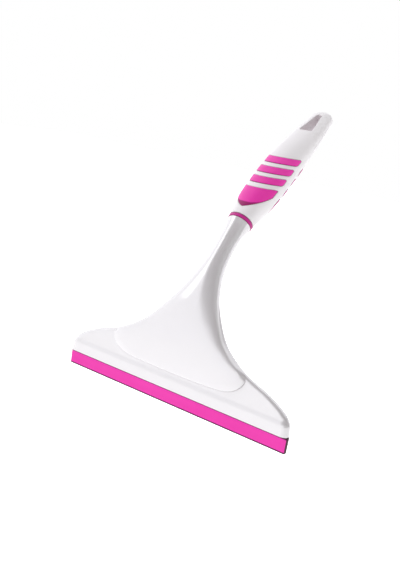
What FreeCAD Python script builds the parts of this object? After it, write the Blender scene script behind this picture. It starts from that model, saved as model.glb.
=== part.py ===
import FreeCAD, Part
import math
import os

from FreeCAD import Vector

# Window squeegee, 240 mm blade.
# +X runs along the blade, +Z up the head, and the front of the tool faces -Y.
# The origin is the middle of the blade's wiping edge.
# The head and the grip follow one spine in the YZ plane: it starts at the holder's
# lip and leans back further and further up to the rounded end of the grip.
# Places along the spine are distances from the lip, in millimetres.

# ---- blade and its channel
BLADE_LENGTH = 240.0
BLADE_HEIGHT = 14.1
BLADE_EDGE_THICKNESS = 3.6
BLADE_THICKNESS = 4.3
BEAD_WIDTH = 7.3
BEAD_HEIGHT = 4.0
WEB_HEIGHT = 3.0
SLIDE_GAP = 0.12
CLOSED_END = 6.0
BEAD_END_SETBACK = 2.2

# ---- spine
LIP_Z = BLADE_HEIGHT + 0.1
LEAN = [
    (0, 2), (20, 5), (50, 16), (80, 25), (108, 30.6), (130, 32.8), (145, 35.6), (157, 40), (168, 43.8),
    (180, 46.2), (205, 46.9), (235, 47.1), (280, 50.3), (320, 50.8),
]
SPINE_STEP = 0.5
RING_LOW = 162.4
RING_HIGH = 166.3
TIP = 329.2

# ---- wing plate: half width and half thickness at heights along the spine
WING_HALF_WIDTH = [
    (0, 120.0), (8.5, 119.2), (14.5, 115.6), (19.5, 109.2), (24, 101.0), (28, 91.8),
    (31.4, 81.6), (35.6, 70.6), (42.4, 58.0), (54, 42.9), (74, 27.7), (86, 20.4), (98, 14.0),
]
WING_HALF_THICKNESS = [(0, 5.45), (8.2, 5.45), (13.2, 3.9), (24, 3.3), (36, 2.8), (98, 2.6)]

# ---- neck and raised cover: half width, depth to the front and to the back
NECK_HALF_WIDTH = [
    (10, 84.0), (34, 71.0), (42.4, 56.8), (54, 41.7), (66, 32.2), (76, 25.8), (88, 19.4), (100, 14.7),
    (112, 11.2), (122, 9.5), (134, 8.8), (148, 9.2), (157, 10.2), (RING_LOW, 11.7),
]
NECK_FRONT = [
    (10, 5.2), (20, 6.2), (34, 7.4), (50, 8.8), (64, 9.7), (84, 10.3), (100, 10.4), (114, 9.7), (134, 8.8),
    (148, 9.1), (157, 10.0), (RING_LOW, 11.3),
]
NECK_BACK = [
    (10, 3.0), (34, 4.6), (50, 6.8), (66, 8.8), (88, 10.1), (104, 10.1), (118, 9.4), (134, 8.8), (148, 9.2),
    (157, 10.1), (RING_LOW, 11.3),
]
NECK_SQUARENESS = [(10, 4.5), (34, 4.0), (60, 3.0), (90, 2.3), (120, 2.0)]
SEAM_FORWARD = [(10, 3.2), (24, 2.5), (36, 2.0), (60, 1.2), (100, 0.0), (RING_LOW, 0.0)]
COVER_HALF_WIDTH = 72.9
COVER_BOTTOM_Z = 29.2
COVER_EDGE_RADIUS = 1.4
SHELL_WALL = 2.2
NECK_HOLLOW_END = 157.0

# ---- grip: half width and half depth
GRIP_HALF_WIDTH = [
    (RING_HIGH, 12.2), (178, 14.1), (190, 16.1), (205, 17.2), (219, 17.7), (234, 17.6), (249, 17.4),
    (265, 17.0), (282, 16.1), (300, 14.5), (317, 12.3),
]
GRIP_HALF_DEPTH = [
    (RING_HIGH, 11.8), (178, 12.8), (190, 14.1), (205, 14.9), (219, 15.3), (234, 15.1), (249, 14.5),
    (265, 12.9), (282, 10.7), (300, 8.7), (317, 7.6),
]
GRIP_SQUARENESS = 2.2
GRIP_WALL = 3.4
GRIP_HOLLOW_END = 268.0
INSERT_DEPTH = 1.8
INSERT_PROUD = 0.15

# ---- grip inserts
BAR_COUNT = 3
FRONT_BAR_LOW_Z = 198.9
FRONT_BAR_PITCH = 9.65
FRONT_BAR_HEIGHT = 6.1
THUMB_PAD_TOP_Z = 195.6
THUMB_PAD_PROUD = 0.4
THUMB_CREASE_Z = 182.6
PAD_LOW = 173.9
BACK_BAR_LOW = 213.0
BACK_BAR_PITCH = 14.7
BACK_BAR_HEIGHT = 9.6
PALM_PAD_TOP = 208.0
FRONT_INSERT_SIDE = 3.8
BACK_INSERT_SIDE = 5.0

# ---- hanging hole
HOLE_LOW = 288.8
HOLE_HIGH = 318.5
HOLE_WIDE = 14.6
HOLE_NARROW = 5.6
HOLE_CORNER = 2.6

# ---- joint between neck and grip, and the cover's screws
SLEEVE_RADIUS = 7.2
SLEEVE_BORE = 5.2
SLEEVE_BELOW = 12.0
SLEEVE_ABOVE = 30.0
SCREW_SPOTS = [(-40.0, 38.0), (40.0, 38.0), (0.0, 92.0)]
SCREW_RADIUS = 1.5
SCREW_HEAD_RADIUS = 2.9
SCREW_HEAD_HEIGHT = 1.6
SCREW_SUNK = 0.3
WING_SCREW_LENGTH = 6.0
NECK_SCREW_LENGTH = 13.0

LOFT_DEGREE = 8
FAR = 400.0


def smooth(keys, at):
    """Value of a smooth curve through (place, value) keys; it never overshoots them."""
    if at <= keys[0][0]:
        return keys[0][1]
    if at >= keys[-1][0]:
        return keys[-1][1]
    gaps = [b[0] - a[0] for a, b in zip(keys, keys[1:])]
    rises = [(b[1] - a[1]) / g for a, b, g in zip(keys, keys[1:], gaps)]
    slopes = [rises[0]]
    for r, q in zip(rises, rises[1:]):
        slopes.append(2 * r * q / (r + q) if r * q > 0 else 0.0)
    slopes.append(rises[-1])
    i = max(k for k in range(len(gaps)) if keys[k][0] <= at)
    u = (at - keys[i][0]) / gaps[i]
    start = keys[i][1] * (1 + 2 * u) * (1 - u) ** 2 + slopes[i] * gaps[i] * u * (1 - u) ** 2
    end = keys[i + 1][1] * u * u * (3 - 2 * u) + slopes[i + 1] * gaps[i] * u * u * (u - 1)
    return start + end


def walk_spine():
    """Points of the spine, one every SPINE_STEP, found by following its lean."""
    points = [(0.0, LIP_Z)]
    for i in range(int(TIP / SPINE_STEP) + 1):
        lean = math.radians(smooth(LEAN, (i + 0.5) * SPINE_STEP))
        y, z = points[-1]
        points.append((y + SPINE_STEP * math.sin(lean), z + SPINE_STEP * math.cos(lean)))
    return points


SPINE = walk_spine()


def spine_at(s):
    """Point of the spine and its lean, at distance s from the lip."""
    i = min(max(int(s / SPINE_STEP), 0), len(SPINE) - 2)
    f = s / SPINE_STEP - i
    y = SPINE[i][0] + f * (SPINE[i + 1][0] - SPINE[i][0])
    z = SPINE[i][1] + f * (SPINE[i + 1][1] - SPINE[i][1])
    return y, z, math.radians(smooth(LEAN, s))


def place(s, x, forward):
    """Point at distance s, x to the side and forward out of the spine's front."""
    y, z, lean = spine_at(s)
    return Vector(x, y - forward * math.cos(lean), z + forward * math.sin(lean))


def along(s):
    """Direction of the spine at distance s."""
    lean = spine_at(s)[2]
    return Vector(0, math.sin(lean), math.cos(lean))


def ahead(s):
    """Direction out of the spine's front at distance s."""
    lean = spine_at(s)[2]
    return Vector(0, -math.cos(lean), math.sin(lean))


def ring_wire(s, half_width, front, back, front_squareness, back_squareness, turns=48):
    """Closed smooth section across the spine, squarer than an ellipse above 2."""
    points = []
    for i in range(turns):
        a = 2 * math.pi * i / turns
        side, forward = math.sin(a), math.cos(a)
        depth, power = (front, front_squareness) if forward > 0 else (back, back_squareness)
        reach = (abs(side) ** power + abs(forward) ** power) ** (-1 / power)
        points.append(place(s, half_width * reach * side, depth * reach * forward))
    curve = Part.BSplineCurve()
    curve.interpolate(Points=points, PeriodicFlag=True, Parameters=[i / turns for i in range(turns + 1)])
    return Part.Wire(curve.toShape())


def skin(wires):
    """Solid through a row of sections."""
    return Part.makeLoft(wires, True, False, False, LOFT_DEGREE)


def steps(low, high, count):
    """Evenly spaced places from low to high."""
    return [low + (high - low) * i / (count - 1) for i in range(count)]


def room_ahead(s_from, s_to, forward):
    """Solid that fills everything in front of a sheet that stands forward(s) out of the spine."""
    line = [place(s, -FAR / 2, forward(s)) for s in steps(s_from, s_to, 24)]
    curve = Part.BSplineCurve()
    curve.interpolate(line)
    low = Vector(-FAR / 2, -FAR, line[0].z)
    high = Vector(-FAR / 2, -FAR, line[-1].z + FAR / 2)
    end = Vector(-FAR / 2, line[-1].y, high.z)
    edges = [curve.toShape()]
    edges += [Part.LineSegment(a, b).toShape() for a, b in ((line[-1], end), (end, high), (high, low), (low, line[0]))]
    return Part.Face(Part.Wire(edges)).extrude(Vector(FAR, 0, 0))


def wing_section(s):
    """Level section of the wing with two rounded ends, at the spine's point s."""
    y, z, _ = spine_at(s)
    half = smooth(WING_HALF_WIDTH, s)
    thick = smooth(WING_HALF_THICKNESS, s)
    low = max(s - 0.5, 0)
    slope = (smooth(WING_HALF_WIDTH, s + 0.5) - smooth(WING_HALF_WIDTH, low)) / (s + 0.5 - low)
    end = min(thick * math.sqrt(1 + slope * slope), half * 0.6)
    corners = [Vector(sx * (half - end), y + sy * thick, z) for sx, sy in ((-1, -1), (1, -1), (1, 1), (-1, 1))]
    right = end_cap(Vector(half - end, y, z), end, thick)
    left = end_cap(Vector(end - half, y, z), -end, -thick)
    front = Part.LineSegment(corners[0], corners[1]).toShape()
    rear = Part.LineSegment(corners[2], corners[3]).toShape()
    return Part.Wire([front, right, rear, left])


def end_cap(middle, reach, thick):
    """Half ellipse that rounds one end of a wing section; both sizes below zero for the left end."""
    points = []
    for i in range(13):
        a = math.pi * i / 12 - math.pi / 2
        points.append(middle + Vector(reach * math.cos(a), thick * math.sin(a), 0))
    curve = Part.BSplineCurve()
    curve.interpolate(Points=points, Parameters=[i / 12 for i in range(13)])
    return curve.toShape()


def wing_plate():
    """Wing from the lip up to where it is lost inside the neck."""
    return skin([wing_section(s) for s in steps(0, WING_HALF_WIDTH[-1][0], 36)])


def neck_body(inset, low, high):
    """Neck with its wide foot; an inset shrinks it to make the hollow inside."""
    wires = []
    for s in steps(low, high, 26):
        half_width = smooth(NECK_HALF_WIDTH, s) - inset
        front = smooth(NECK_FRONT, s) - inset
        back = smooth(NECK_BACK, s) - inset
        wires.append(ring_wire(s, half_width, front, back, smooth(NECK_SQUARENESS, s), 2.0))
    return skin(wires)


def ahead_of_seam():
    """Everything in front of the surface where the two head shells meet."""
    return room_ahead(-4, RING_LOW + 12, lambda s: smooth(SEAM_FORWARD, s))


def cover_outline():
    """Prism over the raised cover, whose wide foot is a shallow curve with rounded corners."""
    right = [
        (0, COVER_BOTTOM_Z), (31, 29.5), (47, 30.3), (57, 31.8), (63.6, 34.4), (67.9, 37.5), (70.8, 41.2),
        (72.4, 45.0), (COVER_HALF_WIDTH, 48.0),
    ]
    points = [Vector(-x, -FAR / 2, z) for x, z in reversed(right)]
    points += [Vector(x, -FAR / 2, z) for x, z in right[1:]]
    curve = Part.BSplineCurve()
    curve.interpolate(points)
    top_left = Vector(points[0].x, -FAR / 2, FAR)
    top_right = Vector(points[-1].x, -FAR / 2, FAR)
    sides = [(points[-1], top_right), (top_right, top_left), (top_left, points[0])]
    wire = Part.Wire([curve.toShape()] + [Part.LineSegment(a, b).toShape() for a, b in sides])
    return Part.Face(wire).extrude(Vector(0, FAR, 0))


def hollow_outline():
    """Cover outline moved in by one wall, for the hollow behind it."""
    low = COVER_BOTTOM_Z + SHELL_WALL + 0.4
    right = [(40.0, low), (58.0, 36.0), (66.0, 42.5), (70.0, 50.0), (70.0, FAR)]
    points = [Vector(-x, -FAR / 2, z) for x, z in reversed(right)] + [Vector(x, -FAR / 2, z) for x, z in right]
    return Part.Face(Part.makePolygon(points + points[:1])).extrude(Vector(0, FAR, 0))


def sleeve(bore):
    """Straight tube through the collar ring, from the neck into the grip."""
    middle = (RING_LOW + RING_HIGH) / 2
    base = place(middle, 0, 0) - along(middle) * SLEEVE_BELOW
    length = SLEEVE_BELOW + SLEEVE_ABOVE
    tube = Part.makeCylinder(SLEEVE_RADIUS, length, base, along(middle))
    if bore:
        tube = tube.cut(Part.makeCylinder(SLEEVE_BORE, length, base, along(middle)))
    return tube


def bar_along_x(outline, x_from, x_to):
    """Extrude a YZ outline between two places along the blade."""
    points = [Vector(x_from, y, z) for y, z in outline]
    face = Part.Face(Part.makePolygon(points + points[:1]))
    return face.extrude(Vector(x_to - x_from, 0, 0))


def strip(low, high, half_low, half_high):
    """YZ outline of a flat strip, symmetric about the blade's middle."""
    return [(-half_low, low), (half_low, low), (half_high, high), (-half_high, high)]


def channel():
    """Room for the blade's web and bead: open at -X, closed at +X."""
    web_top = LIP_Z + WEB_HEIGHT - SLIDE_GAP
    bead_top = LIP_Z + WEB_HEIGHT + BEAD_HEIGHT + SLIDE_GAP
    end = BLADE_LENGTH / 2 - CLOSED_END
    half_web = BLADE_THICKNESS / 2 + SLIDE_GAP
    half_bead = BEAD_WIDTH / 2 + SLIDE_GAP
    web = bar_along_x(strip(0, web_top + 1, half_web, half_web), -FAR, end)
    bead = bar_along_x(strip(web_top, bead_top, half_bead, half_bead), -FAR, end)
    return web.fuse(bead)


def squeegee_blade():
    """Rubber strip: a slightly tapered lip below the head, a web and a bead inside it."""
    half = BLADE_LENGTH / 2
    thick = BLADE_THICKNESS / 2
    lip = bar_along_x(strip(0, BLADE_HEIGHT, BLADE_EDGE_THICKNESS / 2, thick), -half, half)
    web_top = LIP_Z + WEB_HEIGHT
    start, end = -half + BEAD_END_SETBACK, half - CLOSED_END - SLIDE_GAP
    web = bar_along_x(strip(BLADE_HEIGHT - 0.5, web_top + 0.5, thick, thick), start, end)
    bead = bar_along_x(strip(web_top, web_top + BEAD_HEIGHT, BEAD_WIDTH / 2, BEAD_WIDTH / 2), start, end)
    return lip.fuse([web, bead]).removeSplitter()


def screw_seat(spot):
    """Middle of a screw head's underside, and the screw's direction, into the head from behind."""
    x, z = spot
    s = min(steps(0, RING_LOW, 400), key=lambda t: abs(spine_at(t)[1] - z))
    rear = smooth(NECK_BACK, s) if x == 0 else smooth(WING_HALF_THICKNESS, s)
    return place(s, x, SCREW_HEAD_HEIGHT + SCREW_SUNK - rear), ahead(s)


def screw_length(spot):
    """Shank length: longer across the hollow neck than through the wing."""
    return NECK_SCREW_LENGTH if spot[0] == 0 else WING_SCREW_LENGTH


def cover_screws():
    """Pan-head screws with a cross slot, driven from the back into the front shell."""
    screws = []
    for spot in SCREW_SPOTS:
        seat, direction = screw_seat(spot)
        top = seat - direction * SCREW_HEAD_HEIGHT
        head = Part.makeCylinder(SCREW_HEAD_RADIUS, SCREW_HEAD_HEIGHT, top, direction)
        cross = Part.makeBox(3.6, 0.7, 0.8, Vector(-1.8, -0.35, 0))
        cross = cross.fuse(Part.makeBox(0.7, 3.6, 0.8, Vector(-0.35, -1.8, 0)))
        cross.Placement = FreeCAD.Placement(top, FreeCAD.Rotation(Vector(0, 0, 1), direction))
        shank = Part.makeCylinder(SCREW_RADIUS, screw_length(spot), seat, direction)
        screws.append(head.cut(cross).fuse(shank).removeSplitter())
    return Part.makeCompound(screws)


def screw_holes():
    """Counterbores and shank holes, the screws' own size."""
    holes = []
    for spot in SCREW_SPOTS:
        seat, direction = screw_seat(spot)
        holes.append(Part.makeCylinder(SCREW_HEAD_RADIUS, 14.0, seat - direction * 14.0, direction))
        holes.append(Part.makeCylinder(SCREW_RADIUS, screw_length(spot), seat, direction))
    return holes


def screw_posts():
    """Posts that stand in the hollow of the head and take the screws."""
    posts = []
    for spot in SCREW_SPOTS:
        seat, direction = screw_seat(spot)
        posts.append(Part.makeCylinder(SCREW_RADIUS + 1.9, screw_length(spot) + 8.0, seat, direction))
    return posts


def round_cover_edge(cover):
    """Round the front edge of the cover's foot."""
    rim = []
    for edge in cover.Edges:
        middle = edge.CenterOfMass
        s = min(steps(8, 60, 120), key=lambda t: abs(spine_at(t)[1] - middle.z))
        seam_y = place(s, 0, smooth(SEAM_FORWARD, s)).y
        if edge.BoundBox.ZMax < 52 and edge.BoundBox.XLength > 20 and middle.y < seam_y - 1.2:
            rim.append(edge)
    return cover.makeFillet(COVER_EDGE_RADIUS, rim)


def hollow(shell, inside, posts):
    """Take the inside out of a shell, but leave the parts of the posts that cross it."""
    kept = [post.common(inside) for post in posts]
    shell = shell.cut(inside)
    for post in kept:
        if post.Volume > 1:
            shell = shell.fuse(post)
    return shell


def head_shells():
    """Front cover and back shell of the head; the cover sits in a shallow seat in the wing."""
    envelope = neck_body(0, 10, RING_LOW)
    ahead_room = ahead_of_seam()
    cover = round_cover_edge(envelope.common(ahead_room).common(cover_outline()))
    back = wing_plate().fuse(envelope.cut(ahead_room)).cut(cover).cut(channel())
    posts = screw_posts()
    inside = neck_body(SHELL_WALL, 17, NECK_HOLLOW_END)
    cover = hollow(cover, inside.common(ahead_room).common(hollow_outline()), posts)
    deep = neck_body(SHELL_WALL, 56, NECK_HOLLOW_END).cut(ahead_room)
    back = hollow(back, deep, posts)
    for tool in screw_holes() + [sleeve(bore=False)]:
        cover = cover.cut(tool)
        back = back.cut(tool)
    return cover, back


def collar_ring():
    """Soft band between neck and grip, round the sleeve."""
    wires = []
    for s in (RING_LOW, (RING_LOW + RING_HIGH) / 2, RING_HIGH):
        f = (s - RING_LOW) / (RING_HIGH - RING_LOW)
        width = NECK_HALF_WIDTH[-1][1] * (1 - f) + GRIP_HALF_WIDTH[0][1] * f
        depth = NECK_FRONT[-1][1] * (1 - f) + GRIP_HALF_DEPTH[0][1] * f
        wires.append(ring_wire(s, width, depth, depth, 2.0, 2.0))
    return skin(wires).cut(sleeve(bore=False))


def grip_wire(s, inset, scale):
    """One section of the grip."""
    width = (smooth(GRIP_HALF_WIDTH, s) - inset) * scale
    depth = (smooth(GRIP_HALF_DEPTH, s) - inset) * scale
    return ring_wire(s, width, depth, depth, GRIP_SQUARENESS, GRIP_SQUARENESS)


def grip_body(inset, low, high):
    """Plain stretch of the grip, or of its hollow where inset is above zero."""
    return skin([grip_wire(s, inset, 1.0) for s in steps(low, high, 22)])


def whole_grip():
    """Grip from the collar ring to its rounded end."""
    end_radius = GRIP_HALF_WIDTH[-1][1]
    straight = TIP - end_radius
    wires = [grip_wire(s, 0, 1.0) for s in steps(RING_HIGH, straight, 22)]
    for degrees in (20, 38, 54, 67, 77, 84):
        a = math.radians(degrees)
        wires.append(grip_wire(straight + end_radius * math.sin(a), 0, math.cos(a)))
    return skin(wires)


def hang_hole():
    """Prism through the grip's end: a rounded triangle that narrows towards the tip."""
    middle = (HOLE_LOW + HOLE_HIGH) / 2
    half = (HOLE_HIGH - HOLE_LOW) / 2
    origin = place(middle, 0, -40)
    outline = [(-HOLE_WIDE / 2, -half), (HOLE_WIDE / 2, -half), (HOLE_NARROW / 2, half), (-HOLE_NARROW / 2, half)]
    points = [origin + Vector(x, 0, 0) + along(middle) * t for x, t in outline]
    prism = Part.Face(Part.makePolygon(points + points[:1])).extrude(ahead(middle) * 80)
    uprights = [edge for edge in prism.Edges if edge.Length > 79]
    return prism.makeFillet(HOLE_CORNER, uprights)


def level_band(z_from, z_to):
    """Everything between two heights."""
    return Part.makeBox(FAR, FAR, z_to - z_from, Vector(-FAR / 2, -FAR / 2, z_from))


def across_band(s_from, s_to):
    """Slab across the spine between two places."""
    middle = (s_from + s_to) / 2
    height = s_to - s_from
    slab = Part.makeBox(FAR, FAR, height, Vector(-FAR / 2, -FAR / 2, -height / 2))
    slab.Placement = FreeCAD.Placement(place(middle, 0, 0), FreeCAD.Rotation(Vector(0, 0, 1), along(middle)))
    return slab


def pad_room(side):
    """Prism with a U-shaped lower end, out of the grip's front (side 1) or back (side -1)."""
    origin = place(PAD_LOW, 0, 0)
    up, out = along(PAD_LOW + 15), ahead(PAD_LOW + 15) * side
    right = [(0, 0), (4.9, 1.1), (9.4, 6.0), (13.7, 14.0), (16.2, 22.0), (17.2, 34.0), (17.4, 46.0)]
    points = [origin + Vector(-x, 0, 0) + up * t for x, t in reversed(right)]
    points += [origin + Vector(x, 0, 0) + up * t for x, t in right[1:]]
    curve = Part.BSplineCurve()
    curve.interpolate(points)
    wire = Part.Wire([curve.toShape(), Part.LineSegment(points[-1], points[0]).toShape()])
    return Part.Face(wire).extrude(out * 60)


def insert_rooms():
    """The space each grip insert may fill, by name."""
    front = room_ahead(RING_LOW - 8, TIP, lambda s: FRONT_INSERT_SIDE)
    not_back = room_ahead(RING_LOW - 8, TIP, lambda s: -BACK_INSERT_SIDE)
    rooms = {
        "thumb_pad": pad_room(1).common(level_band(0, THUMB_PAD_TOP_Z)).common(front),
        "palm_pad": pad_room(-1).common(across_band(100, PALM_PAD_TOP)).cut(not_back),
    }
    for i in range(BAR_COUNT):
        down = BAR_COUNT - 1 - i
        low = FRONT_BAR_LOW_Z + down * FRONT_BAR_PITCH
        rooms[f"front_grip_bar_{i + 1}"] = level_band(low, low + FRONT_BAR_HEIGHT).common(front)
        low = BACK_BAR_LOW + down * BACK_BAR_PITCH
        rooms[f"back_grip_bar_{i + 1}"] = across_band(low, low + BACK_BAR_HEIGHT).cut(not_back)
    return rooms


def thumb_bevel():
    """Wedge that slopes the thumb pad's lower end back to the grip's surface."""
    low = place(PAD_LOW, 0, smooth(GRIP_HALF_DEPTH, PAD_LOW) + 0.1)
    s = min(steps(PAD_LOW, PAD_LOW + 12, 200), key=lambda t: abs(pad_front(t).z - THUMB_CREASE_Z))
    crease = pad_front(s)
    outline = [(low.y, low.z), (crease.y, crease.z), (crease.y - 20, crease.z)]
    outline += [(low.y - 20, low.z - 12), (low.y, low.z - 12)]
    return bar_along_x(outline, -FAR / 2, FAR / 2)


def pad_front(s):
    """Foremost point of the thumb pad at distance s."""
    return place(s, 0, smooth(GRIP_HALF_DEPTH, s) + THUMB_PAD_PROUD)


def grip_parts():
    """Both grip shells and every insert, by node name."""
    outside = whole_grip()
    floor = grip_body(INSERT_DEPTH, RING_HIGH + 2, GRIP_HOLLOW_END)
    parts = {}
    solid = outside
    for name, room in insert_rooms().items():
        cell = room.cut(floor)
        proud = THUMB_PAD_PROUD if name == "thumb_pad" else INSERT_PROUD
        insert = cell.common(grip_body(-proud, RING_HIGH + 2, GRIP_HOLLOW_END))
        if name == "thumb_pad":
            insert = insert.cut(thumb_bevel())
        parts[name] = insert
        solid = solid.cut(cell.common(grip_body(-3, RING_HIGH + 2, GRIP_HOLLOW_END)))
    for low, high in ((RING_HIGH + 6, 184), (188, GRIP_HOLLOW_END)):
        solid = solid.cut(grip_body(GRIP_WALL, low, high))
    solid = solid.cut(sleeve(bore=False)).cut(hang_hole())
    ahead_room = room_ahead(RING_LOW - 8, TIP + 12, lambda s: 0.0)
    parts["handle_front_shell"] = solid.common(ahead_room)
    parts["handle_back_shell"] = solid.cut(ahead_room)
    return parts


def build():
    """Every node of the squeegee, by name."""
    cover, back = head_shells()
    parts = {
        "squeegee_blade": squeegee_blade(),
        "head_front_shell": cover,
        "head_back_shell": back,
        "cover_screws": cover_screws(),
        "neck_sleeve": sleeve(bore=True),
        "collar_ring": collar_ring(),
    }
    parts.update(grip_parts())
    return parts


os.makedirs("parts", exist_ok=True)
for node, shape in build().items():
    shape.exportStep(f"parts/{node}.step")
    print(f"{node}: {len(shape.Solids)} solid(s), {shape.Volume:.0f} mm3, valid {shape.isValid()}")
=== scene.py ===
"""A window squeegee: smooth moulded skins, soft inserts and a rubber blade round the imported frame.

Sizes are in millimetres and are turned into metres when a mesh is made.
+X runs along the blade, +Z up the head, and the front of the tool faces -Y.
"""
import logging
import math
from collections.abc import Callable
from dataclasses import dataclass
from enum import Enum

import bmesh
import bpy
import numpy as np
from mathutils import Euler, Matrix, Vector


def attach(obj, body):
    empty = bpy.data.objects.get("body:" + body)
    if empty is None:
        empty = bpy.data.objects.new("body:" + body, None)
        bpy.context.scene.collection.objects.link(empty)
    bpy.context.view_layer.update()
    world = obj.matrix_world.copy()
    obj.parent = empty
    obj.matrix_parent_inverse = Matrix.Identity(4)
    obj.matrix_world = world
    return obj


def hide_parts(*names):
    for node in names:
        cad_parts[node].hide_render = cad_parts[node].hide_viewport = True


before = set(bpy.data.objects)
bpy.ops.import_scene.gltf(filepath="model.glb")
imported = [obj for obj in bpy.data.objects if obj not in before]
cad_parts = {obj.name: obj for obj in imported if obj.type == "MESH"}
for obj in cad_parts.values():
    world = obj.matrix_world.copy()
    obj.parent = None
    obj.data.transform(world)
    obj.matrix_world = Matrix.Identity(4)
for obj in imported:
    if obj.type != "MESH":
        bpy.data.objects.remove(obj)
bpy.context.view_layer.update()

MM = 0.001
HEAD_BODY = "squeegee"
BLADE_BODY = "blade"
log = logging.getLogger("squeegee")

Array = np.ndarray
Piece = bpy.types.Object
Socket = bpy.types.NodeSocket
Keys = tuple[tuple[float, float], ...]
Color = tuple[float, float, float, float]
Faces = list[tuple[int, ...]]

WHITE: Color = (1.0, 1.0, 1.0, 1.0)
WELD_DISTANCE = 0.004 * MM
SLIVER_LENGTH = 0.002 * MM
NOISE_RANGE = (0.3, 0.7)
ELLIPSE = 2.0


class Side(Enum):
    """Which half of the tool a shell or an insert belongs to."""

    FRONT = 1
    BACK = -1


class Joining(Enum):
    """How another piece is combined with one."""

    ADD = "UNION"
    CUT = "DIFFERENCE"


def smooth_between(start: Array, end: Array, leave: Array, arrive: Array, u: Array) -> Array:
    """Cubic curve from one value to the next.

    Args:
        start: Values at the start.
        end: Values at the end.
        leave: Slopes at the start, times the distance between the two.
        arrive: Slopes at the end, times that distance.
        u: Share of the way, from 0 to 1.

    Returns:
        The values on the way.
    """
    near = start * (1 + 2 * u) * (1 - u) ** 2 + leave * u * (1 - u) ** 2
    far = end * u * u * (3 - 2 * u) + arrive * u * u * (u - 1)
    return near + far


def distance_along(line: Array) -> Array:
    """Distance from the start of a line to each of its points."""
    return np.concatenate([[0], np.cumsum(np.linalg.norm(np.diff(line, axis=0), axis=1))])


@dataclass(frozen=True)
class Profile:
    """A size that changes smoothly along the tool, given at a few places.

    Args:
        keys: Pairs of place and value, in rising order of place.
    """

    keys: Keys

    def at(self, place: Array | float) -> Array:
        """Value at one or many places.

        Args:
            place: Places along the spine.

        Returns:
            The smooth value at each place, which never overshoots the keys.
        """
        keys = np.asarray(self.keys, float)
        gaps = np.diff(keys[:, 0])
        rises = np.diff(keys[:, 1]) / gaps
        before, after = rises[:-1], rises[1:]
        both = before * after
        middle = np.where(both > 0, 2 * both / np.where(both > 0, before + after, 1.0), 0.0)
        slopes = np.concatenate([rises[:1], middle, rises[-1:]])
        place = np.clip(np.asarray(place, float), keys[0, 0], keys[-1, 0])
        i = np.clip(np.searchsorted(keys[:, 0], place, "right") - 1, 0, len(gaps) - 1)
        u = (place - keys[i, 0]) / gaps[i]
        return smooth_between(keys[i, 1], keys[i + 1, 1], slopes[i] * gaps[i], slopes[i + 1] * gaps[i], u)


@dataclass(frozen=True)
class Spine:
    """The curved middle line of head and handle, which leans further back as it rises.

    Args:
        lip_height: Height of the holder's lip above the wiping edge.
        length: Distance from the lip to the handle's tip.
        lean: Lean from the vertical, in degrees, along the spine.
        step: Distance between the points it is walked in.
        rounds: Rounds in which a height is closed in on.
    """

    lip_height: float = 14.2
    length: float = 329.2
    lean: Profile = Profile((
        (0, 2), (20, 5), (50, 16), (80, 25), (108, 30.6), (130, 32.8), (145, 35.6), (157, 40),
        (168, 43.8), (180, 46.2), (205, 46.9), (235, 47.1), (280, 50.3), (320, 50.8),
    ))
    step: float = 0.5
    rounds: int = 8

    def walk(self) -> tuple[Array, Array, Array]:
        """Places along the spine and their two coordinates.

        Returns:
            Distance, depth and height of each point.
        """
        count = int(self.length / self.step) + 1
        lean = np.radians(self.lean.at((np.arange(count) + 0.5) * self.step))
        depth = np.concatenate([[0.0], np.cumsum(self.step * np.sin(lean))])
        height = self.lip_height + np.concatenate([[0.0], np.cumsum(self.step * np.cos(lean))])
        return np.arange(count + 1) * self.step, depth, height

    def place(self, s: Array, x: Array, forward: Array) -> Array:
        """Points beside and in front of the spine.

        Args:
            s: Distances along the spine.
            x: Distances to the side.
            forward: Distances out of the spine's front.

        Returns:
            The points, one per row of the last axis.
        """
        s, x, forward = np.broadcast_arrays(*(np.asarray(v, float) for v in (s, x, forward)))
        distance, depth, height = self.walk()
        lean = np.radians(self.lean.at(s))
        y = np.interp(s, distance, depth) - forward * np.cos(lean)
        z = np.interp(s, distance, height) + forward * np.sin(lean)
        return np.stack([x, y, z], -1)

    def distance_at_height(self, height: Array, forward: Callable[[Array], Array]) -> Array:
        """Distances along the spine at which a surface reaches given heights.

        Args:
            height: Heights above the wiping edge.
            forward: How far the surface stands in front of the spine at each distance.

        Returns:
            The distance for each height.
        """
        walked, _, heights = self.walk()
        s = np.interp(height, heights, walked)
        for _ in range(self.rounds):
            error = height - self.place(s, 0.0, forward(s))[..., 2]
            s = s + error / np.cos(np.radians(self.lean.at(s)))
        return s


def squircle(turn: Array, power: Array | float) -> tuple[Array, Array]:
    """Point of a rounded-square section of unit size.

    Args:
        turn: Angles from straight ahead, in radians.
        power: 2 for an ellipse, more for a squarer section.

    Returns:
        The sideways and the forward parts.
    """
    side, ahead = np.sin(turn), np.cos(turn)
    reach = (np.abs(side) ** power + np.abs(ahead) ** power) ** (-1 / np.asarray(power, float))
    return reach * side, reach * ahead


def grid_faces(rows: int, columns: int, wraps: bool) -> Faces:
    """Quads of a grid of points stored row by row.

    Args:
        rows: Number of rows.
        columns: Number of points in each row.
        wraps: Whether each row is a closed loop.

    Returns:
        Corner numbers of each quad.
    """
    last = columns if wraps else columns - 1
    faces = []
    for i in range(rows - 1):
        for j in range(last):
            k = (j + 1) % columns
            faces.append((i * columns + j, i * columns + k, (i + 1) * columns + k, (i + 1) * columns + j))
    return faces


def tube_faces(rows: int, columns: int) -> Faces:
    """Faces of a closed tube: its sides and a cap at each end.

    Args:
        rows: Number of rows.
        columns: Number of points in each row.

    Returns:
        Corner numbers of each face.
    """
    ends = (0, (rows - 1) * columns)
    return grid_faces(rows, columns, True) + [tuple(range(first, first + columns)) for first in ends]


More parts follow.
